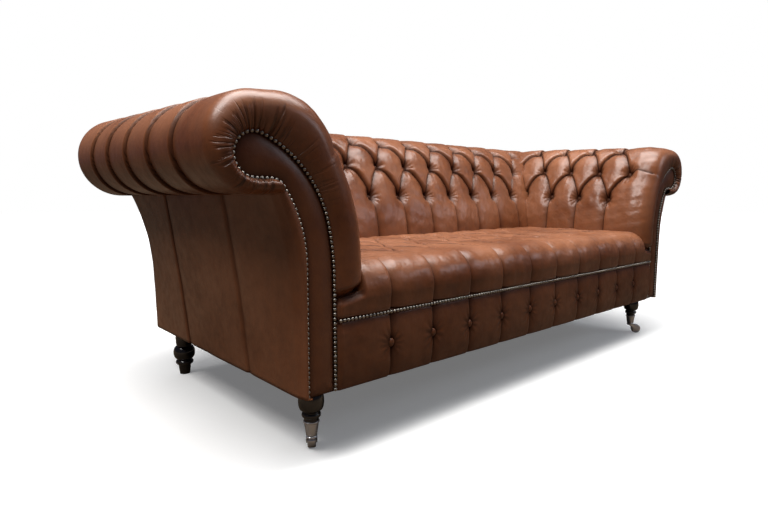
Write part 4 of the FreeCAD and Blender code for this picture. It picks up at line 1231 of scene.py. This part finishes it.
class SOFA_OT_legs(bpy.types.Operator):
    """Make the turned legs"""
    bl_idname = "sofa.legs"
    bl_label = "Legs"

    def execute(self, context):
        rear = [(0.027, base_z), (0.027, 0.150), (0.0265, 0.148), (0.0245, 0.143), (0.0255, 0.120),
                (0.0250, 0.103), (0.0235, 0.098), (0.0235, 0.0955)]
        rear += bead_points(0.022, 0.072, 0.0215, 0.0115, 16)
        rear += [(0.0215, 0.0485)]
        rear += bead_points(0.0215, 0.040, 0.0075, 0.006, 10)
        rear += [(0.0195, 0.0315), (0.0192, 0.028), (0.0158, 0.001), (0.0150, 0.0)]
        front = [(0.027, base_z), (0.027, 0.150), (0.0235, 0.145), (0.0238, 0.143)]
        front += bead_points(0.0235, 0.122, 0.020, 0.006, 16)
        front += [(0.0185, 0.0975), (0.0185, 0.096)]
        front += bead_points(0.0185, 0.090, 0.0055, 0.0035, 10)
        front += [(0.0175, 0.083), (0.0165, 0.076), (0.0160, 0.073), (0.0, 0.072)]
        for name, _ in SIDES:
            for kind, outline in (("rear_leg", rear), ("front_leg", front)):
                x, y, _ = frame_middle(kind + "_" + name)
                lathe(kind + "_turned_" + name, outline, upright(x, y), leg_polish(),
                      (kind + "_" + name,))
        return {"FINISHED"}


class SOFA_OT_castors(bpy.types.Operator):
    """Make the castors' cups, forks and wheels"""
    bl_idname = "sofa.castors"
    bl_label = "Castors"

    def execute(self, context):
        for name, _ in SIDES:
            x, y, _ = frame_middle("castor_cup_" + name)
            centre = frame_middle("castor_axle_" + name)
            heading = math.atan2(centre[1] - y, centre[0] - x)
            cup = [(0.0148, 0.0750), (0.0156, 0.0758), (0.0176, 0.0758), (0.0184, 0.0750), (0.0184, 0.0726),
                   (0.0177, 0.0718), (0.0170, 0.0712), (0.0168, 0.0700), (0.0130, 0.0445), (0.0124, 0.0420),
                   (0.0110, 0.0408), (0.0040, 0.0405)]
            lathe("castor_cup_polished_" + name, cup, upright(x, y), chrome_metal(),
                  ("castor_cup_" + name,))
            crown = [(0.0040, 0.0402), (0.0118, 0.0402), (0.0130, 0.0392), (0.0132, 0.0365),
                     (0.0122, 0.0345), (0.0060, 0.0338)]
            lathe("castor_crown_polished_" + name, crown, upright(x, y), chrome_metal(),
                  ("castor_fork_" + name,), "castor_swivel_" + name)
            radius = centre[2]
            half = [(0.0032, 0.0098), (0.0070, 0.0102), (0.0078, 0.0092), (0.0125, 0.0088), (0.0142, 0.0098),
                    (0.0160, 0.0096), (radius - 0.0008, 0.0076), (radius, 0.0050)]
            wheel = half + [(r, -offset) for r, offset in half[::-1]]
            lathe("castor_wheel_polished_" + name, wheel, level(centre, heading), chrome_metal(),
                  ("castor_wheel_" + name,), "castor_roller_" + name)
            place = level(np.array((x, y, 0.0)), heading)
            trail = float(np.hypot(centre[0] - x, centre[1] - y))
            profile = [(-0.0065, 0.0350), (-0.0040, 0.0395), (0.0065, 0.0395)]
            for angle in np.linspace(50, -150, 12):
                turn = math.radians(angle)
                profile.append((trail + 0.0068 * math.cos(turn), radius + 0.0068 * math.sin(turn)))
            profile.append((0.0, 0.0310))
            count = len(profile)
            for label, inner in (("near", -0.0130), ("far", 0.0105)):
                points = [place(a, b, inner + step) for step in (0.0, 0.0025) for a, b in profile]
                faces = [tuple(range(count)), tuple(range(count, 2 * count))]
                faces += [(k, (k + 1) % count, count + (k + 1) % count, count + k)
                          for k in range(count)]
                closed_piece("castor_cheek_" + label + "_" + name, points, faces, chrome_metal(),
                             (), "castor_swivel_" + name, False)
            paint_node("castor_axle_" + name, chrome_metal())
        return {"FINISHED"}


class SOFA_OT_hidden(bpy.types.Operator):
    """Paint the frame pieces inside and under the sofa"""
    bl_idname = "sofa.hidden"
    bl_label = "Frame pieces"

    def execute(self, context):
        looks = {
            "frame_timber": ((0.42, 0.28, 0.16), 0.6),
            "upholstery_board": ((0.25, 0.18, 0.12), 0.8),
            "foam": ((0.70, 0.62, 0.40), 0.9),
            "webbing": ((0.28, 0.20, 0.12), 0.9),
            "base_cloth": ((0.012, 0.012, 0.012), 0.95),
            "steel": ((0.45, 0.45, 0.46), 0.35),
        }
        for part in frame["record"]["subparts"]:
            if part["material_slot"] in looks:
                colour, rough = looks[part["material_slot"]]
                material = shared(part["material_slot"], lambda n: plain_material(n, colour, rough))
                paint_node(part["node"], material)
        return {"FINISHED"}


class SOFA_OT_stage(bpy.types.Operator):
    """Set the floor, lights and camera"""
    bl_idname = "sofa.stage"
    bl_label = "Stage"

    def execute(self, context):
        scene = context.scene
        bpy.ops.mesh.primitive_plane_add(size=40, location=(0, 0, 0))
        floor = context.object
        floor.name = "floor"
        material, nodes, links, shader = new_material("floor")
        shader.inputs["Roughness"].default_value = 0.8
        ground = seen_or_not(nodes, links, (0.90, 0.90, 0.89), (0.10, 0.065, 0.035))
        links.new(ground, shader.inputs["Base Color"])
        place = nodes.new("ShaderNodeTexCoord")
        reach = nodes.new("ShaderNodeVectorMath")
        reach.operation = "LENGTH"
        links.new(place.outputs["Object"], reach.inputs[0])
        far = nodes.new("ShaderNodeMapRange")
        far.inputs["From Min"].default_value = 1.8
        far.inputs["From Max"].default_value = 6.0
        far.inputs["To Min"].default_value = 0.16
        links.new(reach.outputs["Value"], far.inputs["Value"])
        glow = seen_or_not(nodes, links, (1.0, 1.0, 1.0), (0.0, 0.0, 0.0))
        links.new(glow, shader.inputs["Emission Color"])
        links.new(far.outputs["Result"], shader.inputs["Emission Strength"])
        floor.data.materials.append(material)
        world = bpy.data.worlds.new("studio")
        world.use_nodes = True
        scene.world = world
        sky = world.node_tree.nodes["Background"]
        links = world.node_tree.links
        links.new(seen_or_not(world.node_tree.nodes, links, (1.0, 1.0, 1.0), (0.045, 0.05, 0.07)),
                  sky.inputs["Color"])
        sky.inputs["Strength"].default_value = 1.0

        def lamp(name, place, target, size, power, colour):
            """Soft lamp at a place, turned to its target."""
            data = bpy.data.lights.new(name, "AREA")
            data.shape = "RECTANGLE"
            data.size, data.size_y = size
            data.energy = power
            data.color = colour
            thing = bpy.data.objects.new(name, data)
            scene.collection.objects.link(thing)
            thing.location = place
            thing.rotation_euler = (Vector(target) - Vector(place)).to_track_quat("-Z", "Y").to_euler()

        lamp("overhead", (-0.1, -0.42, 3.0), (0.0, -0.1, 0.4), (3.4, 1.5), 122, (1.0, 0.98, 0.96))
        lamp("window", (2.6, -3.0, 2.3), (0.1, 0.0, 0.45), (1.6, 1.0), 17, (0.80, 0.88, 1.0))
        lamp("left", (-2.4, -0.5, 2.9), (-0.9, 0.0, 0.7), (1.2, 1.2), 62, (1.0, 0.98, 0.96))
        data = bpy.data.lights.new("sky", "SUN")
        data.energy = 2.0
        data.angle = math.radians(60)
        thing = bpy.data.objects.new("sky", data)
        scene.collection.objects.link(thing)
        camera = bpy.data.cameras.new("camera")
        camera.sensor_width = 36.0
        camera.lens = camera_lens
        thing = bpy.data.objects.new("camera", camera)
        scene.collection.objects.link(thing)
        thing.location = (-camera_left - half_length, -camera_front + front_y, camera_height)
        yaw, pitch = math.radians(camera_turn), math.radians(camera_tilt)
        aim = Vector((math.sin(yaw) * math.cos(pitch), math.cos(yaw) * math.cos(pitch), math.sin(pitch)))
        thing.rotation_euler = aim.to_track_quat("-Z", "Y").to_euler()
        scene.camera = thing
        scene.view_settings.view_transform = "Standard"
        return {"FINISHED"}


OPERATORS = (SOFA_OT_arms, SOFA_OT_back, SOFA_OT_seat, SOFA_OT_front, SOFA_OT_outside, SOFA_OT_facings,
             SOFA_OT_legs, SOFA_OT_castors, SOFA_OT_hidden, SOFA_OT_stage)


class SOFA_PT_panel(bpy.types.Panel):
    """Sizes, colours and pieces of the sofa"""
    bl_idname = "SOFA_PT_panel"
    bl_label = "Sofa"
    bl_space_type = "VIEW_3D"
    bl_region_type = "UI"
    bl_category = "Sofa"

    def draw(self, context):
        for key in SofaSettings.__annotations__:
            self.layout.prop(context.scene.sofa, key)
        for operator in OPERATORS:
            self.layout.operator(operator.bl_idname)


CLASSES = (SofaSettings,) + OPERATORS + (SOFA_PT_panel,)


def register():
    """Add the settings, the operators and the panel."""
    for cls in CLASSES:
        bpy.utils.register_class(cls)
    bpy.types.Scene.sofa = bpy.props.PointerProperty(type=SofaSettings)


def unregister():
    """Take them away again."""
    del bpy.types.Scene.sofa
    for cls in reversed(CLASSES):
        bpy.utils.unregister_class(cls)


def main():
    """Make every piece."""
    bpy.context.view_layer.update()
    register()
    bpy.ops.sofa.arms()
    bpy.ops.sofa.back()
    bpy.ops.sofa.seat()
    bpy.ops.sofa.front()
    bpy.ops.sofa.outside()
    bpy.ops.sofa.facings()
    bpy.ops.sofa.legs()
    bpy.ops.sofa.castors()
    bpy.ops.sofa.hidden()
    bpy.ops.sofa.stage()


if __name__ == "__main__":
    main()
